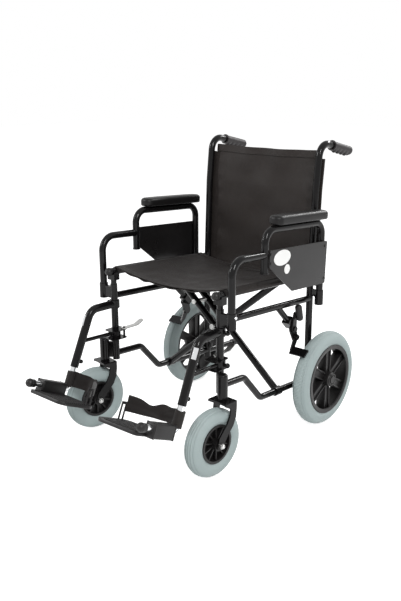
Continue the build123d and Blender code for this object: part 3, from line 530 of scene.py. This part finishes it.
def finish_solids():
    """Gives each CAD solid its finish."""
    for name, node in frame["nodes"].items():
        base = name.split("_", 1)[1]
        key = "zinc" if name == "centre_pivot" else SOLID_FINISH.get(base)
        if key is None:
            continue
        for index in range(max(1, len(node.data.materials))):
            if index < len(node.data.materials):
                node.data.materials[index] = MATERIALS[key]
            else:
                node.data.materials.append(MATERIALS[key])


# Slings


def seat_rail_front():
    """Front end of the left seat rail's centre line, inside its round cap."""
    low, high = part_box("left_rail_caps")
    knob = 0.0126
    return Vector(((low.x + high.x) / 2, low.y + knob, high.z - knob))


SEAT_FRONT = seat_rail_front()


def seat_point(s, y, wrap_radius, sag, lift=0.0):
    """A point of the seat cloth: s runs from under one rail (0), over it, across and under the other (1)."""
    rail_z = SEAT_FRONT.z - math.tan(FRAME_PITCH) * (y - SEAT_FRONT.y)
    if s < SEAT_WRAP_SHARE or s > 1 - SEAT_WRAP_SHARE:
        t = min(s, 1 - s) / SEAT_WRAP_SHARE
        sign = 1 if s < 0.5 else -1
        angle = SEAT_WRAP_START - SEAT_WRAP_ANGLE * t
        r = wrap_radius + lift
        return Vector((sign * (FRAME_X + r * math.sin(angle)), y, rail_z + r * math.cos(angle)))
    t = (s - SEAT_WRAP_SHARE) / (1 - 2 * SEAT_WRAP_SHARE)
    x = FRAME_X * (1 - 2 * t)
    drop = sag * (1 - (x / FRAME_X) ** 2)
    return Vector((x, y, rail_z + wrap_radius + lift - drop))


class CHAIR_OT_seat(bpy.types.Operator):
    """Makes the seat cloth that hangs between the seat rails"""

    bl_idname = "chair.seat"
    bl_label = "Seat cloth"

    def execute(self, context):
        sizes = context.scene.chair_sizes
        low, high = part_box("seat_sling")
        y0, y1 = low.y + 0.006, high.y - 0.014
        columns, rows = 90, 60
        bm = bmesh.new()
        bmesh.ops.create_grid(bm, x_segments=columns, y_segments=rows, size=0.5)
        wrap_radius = POST_RADIUS + CLOTH_CLEARANCE
        for vert in bm.verts:
            s, v = vert.co.x + 0.5, vert.co.y + 0.5
            y = y0 + (y1 - y0) * v
            edge_drop = 0.004 * math.exp(-v * 14)
            point = seat_point(s, y, wrap_radius, sizes.seat_sag + edge_drop)
            middle = max(0.0, 1 - (2 * s - 1) ** 4)
            lip = math.exp(-((v * 9) ** 2))
            crease = noise.noise(Vector((point.x * 9, y * 22, 3.1))) * 0.0026
            crease += noise.noise(Vector((point.x * 30, y * 6, 7.7))) * (0.0014 + 0.0030 * lip)
            crease += math.sin(point.x * 95 + math.sin(y * 40) * 1.5) * 0.0012 * lip
            pull = math.sin(abs(point.x) * 52 + y * 11) * 0.0009 * (1 - middle * 0.6)
            if 0.16 < s < 0.84:
                point.z += (crease + pull) * min(1.0, (0.34 - abs(s - 0.5)) * 8)
            vert.co = point
        give_thickness(bm, sizes.cloth_thickness)
        piece = add_piece(bm, "seat_cloth", None, "seat_cloth", None)
        self.hang(piece)
        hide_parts("seat_sling")
        self.hems(y0, y1, wrap_radius, sizes)
        return {"FINISHED"}

    def hems(self, y0, y1, wrap_radius, sizes):
        """Turned front and rear hems."""
        for name, start, end in (("front", y0, y0 + sizes.hem), ("rear", y1 - sizes.hem, y1)):
            bm = bmesh.new()
            bmesh.ops.create_grid(bm, x_segments=90, y_segments=8, size=0.5)
            for vert in bm.verts:
                s, v = vert.co.x + 0.5, vert.co.y + 0.5
                y = start + (end - start) * v
                lift = sizes.cloth_thickness * 0.95
                vert.co = seat_point(0.142 + s * 0.716, y, wrap_radius, sizes.seat_sag, lift)
            give_thickness(bm, sizes.cloth_thickness * 0.8)
            piece = add_piece(bm, "seat_hem_" + name, None, "seat_cloth", None)
            self.hang(piece)

    def hang(self, piece):
        """Smooths a piece's shading and bakes its placement into its mesh."""
        piece.data.shade_smooth()
        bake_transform(piece)


def cane_y(z):
    """The centre line of the cane at a height."""
    if z <= CANE_KNEE_HEIGHT:
        return POST_Y + CANE_LEAN * max(0.0, (z - CANE_FOOT_HEIGHT) / (CANE_KNEE_HEIGHT - CANE_FOOT_HEIGHT))
    share = (z - CANE_KNEE_HEIGHT) / (HANDLE_CORNER_HEIGHT - CANE_KNEE_HEIGHT)
    return POST_Y + CANE_LEAN + CANE_UPPER_LEAN * share


BACK_EDGE = FRAME_X + POST_RADIUS + 0.004


def back_point(x, z, sizes, lift=0.0):
    """A point of the back cloth, which hangs behind the canes and bows to the rear between them."""
    low, high = BACK_BOX
    share = (z - low.z) / (high.z - low.z)
    across = max(0.0, 1 - (x / FRAME_X) ** 2)
    folds = noise.noise(Vector((x * 7, 1.3, z * 13))) * 0.0062
    folds += noise.noise(Vector((x * 22, 5.1, z * 9))) * 0.0018
    top = math.exp(-((1 - share) * 4.5) ** 2)
    folds += math.cos(x * 46 + 0.6) * 0.0060 * top * across
    pucker = math.sin(z * 150 + x * 20) * 0.0007 * math.exp(-((abs(x) - FRAME_X + 0.03) / 0.016) ** 2)
    return Vector((x, cane_y(z) + POST_RADIUS + CLOTH_CLEARANCE + sizes.back_sag * across
                   + folds * min(1.0, across * 3) + pucker - lift, z - 0.006 * across * share))


BACK_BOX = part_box("back_sling")
NOTCH_HEIGHT = HANDLE_CORNER_HEIGHT - 0.052


class CHAIR_OT_back(bpy.types.Operator):
    """Makes the back cloth that is screwed behind the canes, with its hems"""

    bl_idname = "chair.back"
    bl_label = "Back cloth"

    def execute(self, context):
        sizes = context.scene.chair_sizes
        z0, z1 = BACK_BOX[0].z, BACK_BOX[1].z
        thickness = sizes.cloth_thickness
        cloth = self.patch(
            "back_cloth", (-BACK_EDGE, BACK_EDGE), (z0, z1), (92, 84), 0.0, thickness, sizes, notched=True)
        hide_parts("back_sling")
        hem = sizes.hem
        between = (-FRAME_X + 0.014, FRAME_X - 0.014)
        top, low = (
            self.patch(name, between, height, (84, 8), thickness * 0.92, thickness * 0.8, sizes)
            for name, height in (
                ("back_hem_top", (z1 - hem, z1 - 0.0006)), ("back_hem_low", (z0 + 0.0006, z0 + hem))))
        self.seams(z0, z1, sizes)
        return {"FINISHED"}

    def patch(self, name, width, height, cells, lift, thickness, sizes, notched=False):
        """A rectangle of the back cloth's surface, with thickness, riding on the left frame."""
        bm = bmesh.new()
        bmesh.ops.create_grid(bm, x_segments=cells[0], y_segments=cells[1], size=0.5)
        for vert in bm.verts:
            x = width[0] + (width[1] - width[0]) * (vert.co.x + 0.5)
            z = height[0] + (height[1] - height[0]) * (vert.co.y + 0.5)
            vert.co = back_point(x, z, sizes, lift)
        if notched:
            corners = [f for f in bm.faces
                       if f.calc_center_median().z > NOTCH_HEIGHT
                       and abs(f.calc_center_median().x) > FRAME_X - POST_RADIUS - 0.002]
            bmesh.ops.delete(bm, geom=corners, context="FACES")
        give_thickness(bm, thickness)
        piece = add_piece(bm, name, "left_frame", "back_cloth", None)
        piece.data.shade_smooth()
        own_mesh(piece)
        return piece

    def seams(self, z0, z1, sizes):
        """Rows of stitches beside each cane and along the top hem."""
        bm = bmesh.new()
        lift = sizes.cloth_thickness * 0.5
        for sign in (-1, 1):
            for inset in (0.017, 0.021):
                x = sign * (FRAME_X - inset)
                points = [back_point(x, z0 + (z1 - z0) * k / 90, sizes, lift) for k in range(91)]
                stitch_row(bm, points, [Vector((0, -1, 0))] * 91, sizes.stitch_pitch, 0.0007)
        for z in (z1 - sizes.hem + 0.002, z0 + sizes.hem - 0.002):
            points = [back_point(-FRAME_X + 0.022 + (2 * FRAME_X - 0.044) * k / 90, z, sizes, lift * 2.6)
                      for k in range(91)]
            stitch_row(bm, points, [Vector((0, -1, 0))] * 91, sizes.stitch_pitch, 0.0007)
        piece = add_piece(bm, "back_stitches", "left_frame", "thread", 40.0)
        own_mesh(piece)


class CHAIR_OT_heel_loops(bpy.types.Operator):
    """Makes the cloth bands behind the heels"""

    bl_idname = "chair.heel_loops"
    bl_label = "Heel loops"

    def execute(self, context):
        for side in SIDES:
            self.loop(side, context.scene.chair_sizes)
        return {"FINISHED"}

    def loop(self, side, sizes):
        place = foot_matrix(side)
        wrap_radius, end_x, wrap_share = 0.0135, -PLATE_WIDTH + 0.0105, 0.26
        bm = bmesh.new()
        bmesh.ops.create_grid(bm, x_segments=64, y_segments=14, size=0.5)
        for vert in bm.verts:
            s, v = vert.co.x + 0.5, vert.co.y + 0.5
            if s < wrap_share:
                angle = -math.pi + s / wrap_share * 1.5 * math.pi
                x, y, t = wrap_radius * math.cos(angle), wrap_radius * math.sin(angle), 0.0
            else:
                t = (s - wrap_share) / (1 - wrap_share)
                x, y = end_x * t, wrap_radius + 0.137 * t - 0.196 * t * t
            dip = 0.014 * math.exp(-((t - 0.74) / 0.12) ** 2) + 0.004 * math.exp(-((t - 0.40) / 0.20) ** 2)
            z = 0.008 + (0.047 - dip) * v
            y += 0.0018 * noise.noise(Vector((s * 9, v * 3, 2.0 * SIGN[side]))) * min(1.0, t * 6)
            z += 0.0012 * math.sin(s * 31) * (v - 0.3)
            vert.co = (x, y, z)
        give_thickness(bm, 0.0020)
        settle(bm, place)
        piece = add_piece(bm, side + "_heel_band", None, "loop_cloth", None)
        piece.data.shade_smooth()
        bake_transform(piece)
        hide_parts(side + "_heel_loop")


def foot_matrix(side):
    """The footrest tube's corner with the rod along -Y and the lower tube up Z, mirrored on the right."""
    joint = JOINTS[side + "_plate_flip"]
    y_axis = Vector(joint["axis"]).normalized() * SIGN[side]
    x_axis = Vector((1, 0, 0))
    x_axis = (x_axis - y_axis * x_axis.dot(y_axis)).normalized()
    z_axis = x_axis.cross(y_axis)
    turn = Matrix((x_axis, y_axis, z_axis)).transposed().to_4x4()
    place = Matrix.Translation(Vector(joint["pos_m"])) @ turn
    if SIGN[side] < 0:
        place = place @ Matrix.Diagonal((-1, 1, 1, 1))
    return place


class CHAIR_OT_footplates(bpy.types.Operator):
    """Makes the ribbed footplates with their hinge blocks"""

    bl_idname = "chair.footplates"
    bl_label = "Footplates"

    def execute(self, context):
        for side in SIDES:
            self.plate(side, context.scene.chair_sizes)
        return {"FINISHED"}

    def plate(self, side, sizes):
        start = -FOOT_ROD_BEND - 0.0015
        front = start - PLATE_DEPTH
        bm = bmesh.new()
        made = bmesh.ops.create_cube(bm, size=1.0)["verts"]
        low = Vector((-PLATE_WIDTH, front, -PLATE_DROP - PLATE_THICKNESS))
        high = Vector((-0.008, start, -PLATE_DROP))
        bmesh.ops.scale(bm, vec=high - low, verts=made)
        bmesh.ops.translate(bm, vec=(high + low) / 2, verts=made)
        uprights = [e for e in bm.edges if abs(e.verts[0].co.z - e.verts[1].co.z) > 0.005]
        round_edges(bm, [e for e in uprights if e.verts[0].co.x < -0.1], 0.026, 8)
        outer = [e for e in bm.edges if abs(e.verts[0].co.z - e.verts[1].co.z) > 0.005
                 and e.verts[0].co.x > -0.02 and e.verts[0].co.y < front + 0.01]
        round_edges(bm, outer, 0.012, 6)
        top = max(bm.faces, key=lambda f: f.calc_center_median().z if abs(f.normal.z) > 0.9 else -1)
        bmesh.ops.inset_region(bm, faces=[top], thickness=0.005, depth=0.0)
        bmesh.ops.translate(bm, vec=(0, 0, -0.0016), verts=top.verts)
        rims = [e for e in bm.edges if e.is_manifold and e.calc_face_angle(0) > math.radians(50)]
        round_edges(bm, rims, 0.0011, 2)
        count = sizes.plate_ribs
        for index in range(count):
            y = start - 0.012 - (PLATE_DEPTH - 0.024) * index / (count - 1)
            inset = 0.010 + 0.014 * (abs(2 * index / (count - 1) - 1) ** 4)
            rib_end = -0.036 if y > start - HINGE_BLOCK_LENGTH - 0.004 else -0.022
            add_box(bm, (-PLATE_WIDTH + inset, y - 0.0013, -PLATE_DROP - 0.004),
                    (rib_end, y + 0.0013, -PLATE_DROP + 0.0004), 0.0005, 1)
        block_end = start - HINGE_BLOCK_LENGTH
        add_box(bm, (-HINGE_BLOCK_HALF, block_end, -PLATE_DROP - PLATE_THICKNESS),
                (HINGE_BLOCK_HALF, start, HINGE_BLOCK_HALF * 0.98), 0.0055, 4)
        for y in (block_end + 0.002, start - 0.006):
            add_box(bm, (-HINGE_BLOCK_HALF - 0.0008, y, -PLATE_DROP - PLATE_THICKNESS - 0.0004),
                    (HINGE_BLOCK_HALF + 0.0008, y + 0.004, HINGE_BLOCK_HALF), 0.0012, 2)
        ear_y = start - 0.041
        ear_low, ear_high = -PLATE_WIDTH + 0.0025, -PLATE_WIDTH + 0.0055
        for y0, z0, y1, z1 in (
                (0.0, -PLATE_DROP - 0.002, 0.006, 0.030), (0.016, -PLATE_DROP - 0.002, 0.022, 0.030),
                (0.0, 0.026, 0.022, 0.034)):
            add_box(bm, (ear_low, ear_y + y0, z0), (ear_high, ear_y + y1, z1), 0.0012, 2)
        settle(bm, foot_matrix(side))
        piece = add_piece(bm, side + "_ribbed_plate", side + "_plate", "plastic", 35.0)
        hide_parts(side + "_footplate")


# Pads and grips


class CHAIR_OT_arm_pads(bpy.types.Operator):
    """Makes the skinned foam arm pads"""

    bl_idname = "chair.arm_pads"
    bl_label = "Arm pads"

    def execute(self, context):
        for side in SIDES:
            self.pad(side, context.scene.chair_sizes)
        return {"FINISHED"}

    def pad(self, side, sizes):
        low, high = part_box(side + "_arm_pad")
        centre = (low + high) / 2
        length = (high.y - low.y) / math.cos(FRAME_PITCH)
        width = high.x - low.x
        half_thick = PAD_THICKNESS / 2
        bm = bmesh.new()
        bmesh.ops.create_cube(bm, size=1.0)
        bmesh.ops.scale(bm, vec=(width, length, PAD_THICKNESS), verts=bm.verts)
        uprights = [e for e in bm.edges if abs(e.verts[0].co.z - e.verts[1].co.z) > half_thick]
        round_edges(bm, uprights, 0.0205, 10)
        near = half_thick - 1e-5
        round_edges(bm, [e for e in bm.edges if min(v.co.z for v in e.verts) > near], 0.0105, 7)
        round_edges(bm, [e for e in bm.edges if max(v.co.z for v in e.verts) < -near], 0.0060, 4)
        for axis, size, parts in ((Vector((0, 1, 0)), length, 24), (Vector((1, 0, 0)), width, 12)):
            for index in range(1, parts):
                bmesh.ops.bisect_plane(
                    bm, geom=bm.verts[:] + bm.edges[:] + bm.faces[:],
                    plane_co=axis * size * (index / parts - 0.5), plane_no=axis)
        for vert in bm.verts:
            share = max(0.0, vert.co.z / half_thick)
            across, along = 2 * vert.co.x / width, 2 * vert.co.y / length
            vert.co.z -= sizes.pad_crown * 0.4 * share * (across ** 2 * 0.7 + along ** 6 * 0.8)
        turn = Matrix.Rotation(-FRAME_PITCH, 4, "X")
        settle(bm, Matrix.Translation(centre) @ turn)
        piece = add_piece(bm, side + "_pad", side + "_armrest", "pad", 180.0)
        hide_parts(side + "_arm_pad")


class CHAIR_OT_grips(bpy.types.Operator):
    """Makes the ridged push-handle grips"""

    bl_idname = "chair.grips"
    bl_label = "Hand grips"

    def execute(self, context):
        for side in SIDES:
            self.grip(side)
        return {"FINISHED"}

    def grip(self, side):
        length, radius = GRIP_LENGTH, GRIP_RADIUS
        end_y = cane_y(HANDLE_CORNER_HEIGHT) + HANDLE_LENGTH * math.cos(HANDLE_DROOP)
        end_z = HANDLE_CORNER_HEIGHT - HANDLE_LENGTH * math.sin(HANDLE_DROOP)
        end = Vector((SIGN[side] * FRAME_X, end_y, end_z))
        rings = 64
        profile = [(-length + length * index / rings + 0.004, radius) for index in range(rings + 1)]
        profile[0] = (-length + 0.004, POST_RADIUS + 0.0003)
        profile.insert(1, (-length + 0.004, radius + 0.0022))
        profile.insert(2, (-length + 0.0075, radius + 0.0022))
        profile.insert(3, (-length + 0.0085, radius + 0.0004))
        profile += [(0.0062, radius - 0.0012), (0.0072, radius - 0.004), (0.0074, 0.0)]
        bm = lathe(profile, 40, closed=False)
        for vert in bm.verts:
            down = -vert.co.z / max(1e-6, math.hypot(vert.co.y, vert.co.z))
            t = (vert.co.x + length) / length
            if down <= 0 or not 0.10 < t < 1.0 or math.hypot(vert.co.y, vert.co.z) < radius * 0.7:
                continue
            wave = 0.5 - 0.5 * math.cos(t * math.tau * GRIP_FINGERS)
            fade = min(1.0, (t - 0.10) * 12) * min(1.0, (1.0 - t) * 14)
            vert.co.z -= 0.0064 * (1 - wave ** 1.4) * down ** 1.6 * fade
            vert.co.y *= 1 - 0.12 * down * fade
        turn = Matrix.Rotation(math.pi / 2, 4, "Z")
        droop = Matrix.Rotation(-HANDLE_DROOP, 4, "X")
        settle(bm, Matrix.Translation(end) @ droop @ turn)
        piece = add_piece(bm, side + "_grip", side + "_frame", "grip", 50.0)
        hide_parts(side + "_hand_grip")


# Tyres and wheels


def tyre_profile(outer, section, seat, grooves, depth, half_groove):
    """The outline of a tyre's section, as (across, radius), with grooves cut in the tread."""
    centre = outer - section
    low_angle = math.asin(max(-1.0, (seat - centre) / section))
    count = 132
    points = []
    for index in range(count + 1):
        angle = low_angle + (math.pi - 2 * low_angle) * index / count
        x, r = section * math.cos(angle), centre + section * math.sin(angle)
        for groove in grooves:
            away = abs(x - groove)
            if away < half_groove:
                r -= depth * (1 - (away / half_groove) ** 4)
        points.append((x, r))
    return points


class CHAIR_OT_tyres(bpy.types.Operator):
    """Makes the four grey tyres with their treads"""

    bl_idname = "chair.tyres"
    bl_label = "Tyres"

    def execute(self, context):
        sizes = context.scene.chair_sizes
        for side in SIDES:
            self.caster(side, sizes)
            self.rear(side, sizes)
        return {"FINISHED"}

    def caster(self, side, sizes):
        grooves = (-0.0150, -0.0075, 0.0, 0.0075, 0.0150)
        profile = tyre_profile(
            CASTER_RADIUS, CASTER_SECTION, CASTER_SEAT, grooves, sizes.tread_depth, 0.0022)
        bm = lathe(profile, 128)
        settle(bm, joint_matrix(side + "_caster_spin", side))
        piece = add_piece(bm, side + "_front_tyre", side + "_caster", "tyre", 60.0)
        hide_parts(side + "_caster_tyre")

    def rear(self, side, sizes):
        """A round section with a fine block tread: rings cut by short cross grooves."""
        profile = tyre_profile(
            WHEEL_RADIUS, WHEEL_SECTION, WHEEL_SEAT, (-0.0142, 0.0142), sizes.tread_depth * 0.6, 0.0013)
        steps = 288
        tread_half, row_width = 0.0205, 0.0046
        tread_radius = WHEEL_RADIUS - WHEEL_SECTION + WHEEL_SECTION * 0.62
        bm = lathe(profile, steps)
        for vert in bm.verts:
            radius = math.hypot(vert.co.y, vert.co.z)
            x = vert.co.x
            if radius < tread_radius or abs(x) > tread_half:
                continue
            turn = math.atan2(vert.co.z, vert.co.y) / math.tau * steps
            row = int((x + tread_half) / row_width)
            cut = (round(turn) + row) % 3 == 0
            band = abs((x + tread_half) / row_width - row - 0.5) < 0.36
            if cut and band:
                factor = (radius - sizes.tread_depth * 0.7) / radius
                vert.co.y *= factor
                vert.co.z *= factor
        settle(bm, joint_matrix(side + "_wheel_spin", side))
        piece = add_piece(bm, side + "_back_tyre", side + "_wheel", "tyre", 60.0)
        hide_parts(side + "_rear_tyre")


class CHAIR_OT_wheels(bpy.types.Operator):
    """Makes the six-spoke rear wheel centres"""

    bl_idname = "chair.wheels"
    bl_label = "Wheel centres"

    def execute(self, context):
        for side in SIDES:
            self.rear(side)
        return {"FINISHED"}

    def rear(self, side):
        """A moulded barrel with a stepped lip, six hollow spokes with ribbed edges, and a hub with a cap."""
        barrel = [(-0.0262, 0.1120), (-0.0262, 0.1085), (-0.0240, 0.1055), (-0.0200, 0.1045), (0.0195, 0.1045),
                  (0.0215, 0.1000), (0.0232, 0.0985), (0.0250, 0.0990), (0.0262, 0.1010), (0.0264, 0.1118),
                  (0.0250, 0.1126), (0.0236, 0.1100), (-0.0236, 0.1100), (-0.0250, 0.1126)]
        bm = lathe(barrel, 96)
        hub = [(-0.0356, 0.0062), (-0.0356, 0.0190), (-0.0340, 0.0205), (-0.0240, 0.0215), (-0.0150, 0.0235),
               (0.0220, 0.0235), (0.0290, 0.0228), (0.0310, 0.0205), (0.0345, 0.0196), (0.0352, 0.0180),
               (0.0350, 0.0160), (0.0325, 0.0150), (0.0320, 0.0062)]
        merge_bmesh(bm, lathe(hub, 64))
        for index in range(WHEEL_SPOKES):
            spoke = bmesh.new()
            add_box(spoke, (-0.0110, -0.0120, 0.0200), (0.0130, 0.0120, 0.1060), 0.002, 2)
            for edge in (-1, 1):
                middle = edge * 0.0105
                add_box(spoke, (-0.0150, middle - 0.0021, 0.0200), (0.0175, middle + 0.0021, 0.1062), 0.0016, 2)
            for vert in spoke.verts:
                along = (vert.co.z - 0.02) / 0.086
                vert.co.y *= 1 + 0.22 * along ** 2
                vert.co.x *= 1 - 0.12 * math.sin(along * math.pi)
            turn = Matrix.Rotation(index * math.tau / WHEEL_SPOKES, 3, "X")
            bmesh.ops.rotate(spoke, cent=(0, 0, 0), matrix=turn, verts=spoke.verts)
            merge_bmesh(bm, spoke)
        settle(bm, joint_matrix(side + "_wheel_spin", side))
        piece = add_piece(bm, side + "_spoked_centre", side + "_wheel", "plastic", 35.0)
        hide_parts(side + "_rear_wheel")


def merge_bmesh(target, other):
    """Adds one bmesh to another and frees it."""
    mesh = bpy.data.meshes.new("merge")
    other.to_mesh(mesh)
    other.free()
    target.from_mesh(mesh)
    bpy.data.meshes.remove(mesh)


# Small things on the panel and hangers


class CHAIR_OT_trim(bpy.types.Operator):
    """Makes the blank label, the round marker and the screws on the side panels"""

    bl_idname = "chair.trim"
    bl_label = "Labels and screws"

    def execute(self, context):
        for side in SIDES:
            self.screws(side)
        low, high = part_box("left_side_panel")
        face = high.x - 0.0016
        for name, thick, steps, wide, tall, back, down in (
                ("oval_label", 0.0012, 48, 0.080, 0.045, 0.060, 0.029),
                ("round_marker", 0.0010, 40, 0.027, 0.028, 0.085, 0.067)):
            bm = bmesh.new()
            add_drum(bm, (0, 0, 0), (thick, 0, 0), 0.5, steps)
            bmesh.ops.scale(bm, vec=(1, wide, tall), verts=bm.verts)
            bmesh.ops.translate(bm, vec=(face, low.y + back, high.z - down), verts=bm.verts)
            add_piece(bm, name, "left_armrest", "label", 30.0)
        return {"FINISHED"}

    def screws(self, side):
        """Screws behind the canes, and the row of holes behind the hanger with its bright rims; the holes are
        near-black discs of painted shade.
        """
        bm = bmesh.new()
        low = BACK_BOX[0]
        for index in range(6):
            z = low.z + 0.025 + (NOTCH_HEIGHT - low.z - 0.045) * index / 5
            y = cane_y(z) + POST_RADIUS + 0.0026
            x = SIGN[side] * FRAME_X
            add_drum(bm, (x, y, z), (x, y + 0.0012, z), 0.0080, 20)
            add_drum(bm, (x, y + 0.0010, z), (x, y + 0.0034, z), 0.0048, 20, bevel=0.0008)
        settle(bm, Matrix.Identity(4))
        add_piece(bm, side + "_back_screws", side + "_frame", "zinc", 40.0)
        place = foot_matrix(side)
        rims, holes = bmesh.new(), bmesh.new()
        for index in range(6):
            z = HOLE_ROW_START + HOLE_ROW_PITCH * index
            add_drum(rims, (0, 0.0112, z), (0, 0.0131, z), 0.0040, 18, bevel=0.0004)
            # Near-black discs inside the rims: painted shade for the open holes.
            add_drum(holes, (0, 0.0120, z), (0, 0.0133, z), 0.0024, 18)
        settle(rims, place)
        settle(holes, place)
        # A thin chrome strip on the hanger below its bend: a painted highlight for the bright streak there.
        patch = bmesh.new()
        ends = [patch.verts.new((0.0, -0.0128, z)) for z in (0.196, 0.228)]
        edge = patch.edges.new(ends)
        origin = (0, 0, 0)
        bmesh.ops.spin(patch, geom=ends + [edge], cent=origin, axis=(0, 0, 1), angle=math.radians(80), steps=14)
        turn = Matrix.Rotation(math.radians(-30), 3, "Z")
        bmesh.ops.rotate(patch, cent=origin, matrix=turn, verts=patch.verts)
        give_thickness(patch, 0.0004)
        settle(patch, place)
        add_piece(patch, side + "_hanger_highlight_strip", side + "_front_rigging", "chrome", 40.0)
        add_piece(rims, side + "_height_hole_rims", side + "_front_rigging", "chrome", 40.0)
        add_piece(holes, side + "_height_hole_shade", side + "_front_rigging", "dark", 40.0)


# Stage


CAMERA_PLACE = Vector((1.5296, -1.72069, 1.0812))
CAMERA_TURN = math.radians(41.42)
CAMERA_TILT = math.radians(16.0)
CAMERA_ROLL = math.radians(-0.28)
CAMERA_FOCUS_PX = 777.5
PHOTO_HEIGHT_PX = 601
FILM_HEIGHT_MM = 36.0
FLOOR_GLOW = 0.66
WORLD_LEVEL = 0.42


def place_camera():
    """The photograph's camera, with the image's own slight roll."""
    level = math.cos(CAMERA_TILT)
    fwd = Vector((-math.sin(CAMERA_TURN) * level, math.cos(CAMERA_TURN) * level, -math.sin(CAMERA_TILT)))
    right = Vector((math.cos(CAMERA_TURN), math.sin(CAMERA_TURN), 0))
    up = right.cross(fwd)
    rolled_right = right * math.cos(CAMERA_ROLL) + up * math.sin(CAMERA_ROLL)
    rolled_up = up * math.cos(CAMERA_ROLL) - right * math.sin(CAMERA_ROLL)
    data = bpy.data.cameras.new("Photo Camera")
    data.sensor_fit = "VERTICAL"
    data.sensor_height = FILM_HEIGHT_MM
    data.lens = CAMERA_FOCUS_PX * FILM_HEIGHT_MM / PHOTO_HEIGHT_PX
    data.clip_start = 0.05
    data.clip_end = 60.0
    camera = bpy.data.objects.new("Photo Camera", data)
    bpy.context.scene.collection.objects.link(camera)
    turn = Matrix((rolled_right, rolled_up, -fwd)).transposed().to_4x4()
    camera.matrix_world = Matrix.Translation(CAMERA_PLACE) @ turn
    bpy.context.scene.camera = camera


def area_light(name, place, target, size, power):
    """A long soft lamp that faces a point."""
    data = bpy.data.lights.new(name, "AREA")
    data.shape = "RECTANGLE"
    data.size, data.size_y = size
    data.energy = power
    lamp = bpy.data.objects.new(name, data)
    bpy.context.scene.collection.objects.link(lamp)
    aim = Vector(target) - Vector(place)
    lamp.matrix_world = Matrix.Translation(place) @ aim.to_track_quat("-Z", "Y").to_matrix().to_4x4()


def backdrop_rays(tree):
    """1 for the rays that see the plain white backdrop: camera, glossy and transmission rays."""
    rays = tree.nodes.new("ShaderNodeLightPath")
    seen = rays.outputs["Is Camera Ray"]
    for kind in ("Is Glossy Ray", "Is Transmission Ray"):
        added = tree.nodes.new("ShaderNodeMath")
        added.operation = "ADD"
        added.use_clamp = True
        tree.links.new(seen, added.inputs[0])
        tree.links.new(rays.outputs[kind], added.inputs[1])
        seen = added.outputs[0]
    return seen


class CHAIR_OT_stage(bpy.types.Operator):
    """Makes the floor, the lamps, the world and the camera"""

    bl_idname = "chair.stage"
    bl_label = "Stage"

    def execute(self, context):
        bm = bmesh.new()
        bmesh.ops.create_grid(bm, x_segments=1, y_segments=1, size=14.0)
        mesh = bpy.data.meshes.new("floor")
        bm.to_mesh(mesh)
        bm.free()
        floor = bpy.data.objects.new("floor", mesh)
        context.scene.collection.objects.link(floor)
        mesh.materials.append(self.floor_material())
        self.world(context.scene)
        area_light("Key", (2.9, -1.6, 3.0), (0, 0, 0.4), (0.32, 1.7), 110)
        area_light("Fill", (-2.6, -2.6, 2.4), (0, 0, 0.5), (0.32, 1.7), 70)
        area_light("Rim", (0.6, 3.2, 2.6), (0, 0, 0.5), (1.6, 0.4), 60)
        place_camera()
        context.scene.view_settings.view_transform = "Standard"
        return {"FINISHED"}

    def floor_material(self):
        """White floor that keeps the object's shadow and fades to pure white for the camera."""
        material = bpy.data.materials.new("Floor")
        material.use_nodes = True
        tree = material.node_tree
        shader = tree.nodes["Principled BSDF"]
        shader.inputs["Base Color"].default_value = (0.86, 0.86, 0.86, 1)
        shader.inputs["Roughness"].default_value = 0.9
        shader.inputs["Specular IOR Level"].default_value = 0.1
        glow = group_math(tree, "MULTIPLY", backdrop_rays(tree), FLOOR_GLOW)
        shader.inputs["Emission Color"].default_value = (1, 1, 1, 1)
        tree.links.new(glow, shader.inputs["Emission Strength"])
        return material

    def world(self, scene):
        world = bpy.data.worlds.new("Studio")
        scene.world = world
        world.use_nodes = True
        tree = world.node_tree
        background = tree.nodes["Background"]
        seen = backdrop_rays(tree)
        level = add_node(tree, "ShaderNodeMapRange", {"To Min": WORLD_LEVEL, "To Max": 1.0}, {"Value": seen})
        tree.links.new(level.outputs["Result"], background.inputs["Strength"])
        background.inputs["Color"].default_value = (1, 1, 1, 1)


class CHAIR_OT_solids(bpy.types.Operator):
    """Gives the frame's solids their finishes"""

    bl_idname = "chair.solids"
    bl_label = "Frame finishes"

    def execute(self, context):
        MATERIALS.update(build_materials())
        finish_solids()
        return {"FINISHED"}


PIECES = (
    "solids", "seat", "back", "heel_loops", "footplates", "arm_pads", "grips", "tyres", "wheels", "trim", "stage")


class CHAIR_PT_panel(bpy.types.Panel):
    """Lists the chair's pieces in the sidebar"""

    bl_label = "Transport Chair"
    bl_idname = "CHAIR_PT_panel"
    bl_space_type = "VIEW_3D"
    bl_region_type = "UI"
    bl_category = "Chair"

    def draw(self, context):
        for group in (context.scene.chair_colours, context.scene.chair_sizes):
            for key in group.__annotations__:
                self.layout.prop(group, key)
        for piece in PIECES:
            self.layout.operator("chair." + piece)


CLASSES = (
    ChairColours, ChairSizes, CHAIR_OT_solids, CHAIR_OT_seat, CHAIR_OT_back, CHAIR_OT_heel_loops,
    CHAIR_OT_footplates, CHAIR_OT_arm_pads, CHAIR_OT_grips, CHAIR_OT_tyres, CHAIR_OT_wheels, CHAIR_OT_trim,
    CHAIR_OT_stage, CHAIR_PT_panel,
)


def register():
    for item in CLASSES:
        bpy.utils.register_class(item)
    bpy.types.Scene.chair_colours = bpy.props.PointerProperty(type=ChairColours)
    bpy.types.Scene.chair_sizes = bpy.props.PointerProperty(type=ChairSizes)


def unregister():
    del bpy.types.Scene.chair_sizes
    del bpy.types.Scene.chair_colours
    for item in reversed(CLASSES):
        bpy.utils.unregister_class(item)


def main():
    register()
    for piece in PIECES:
        getattr(bpy.ops.chair, piece)()


if __name__ == "__main__":
    main()
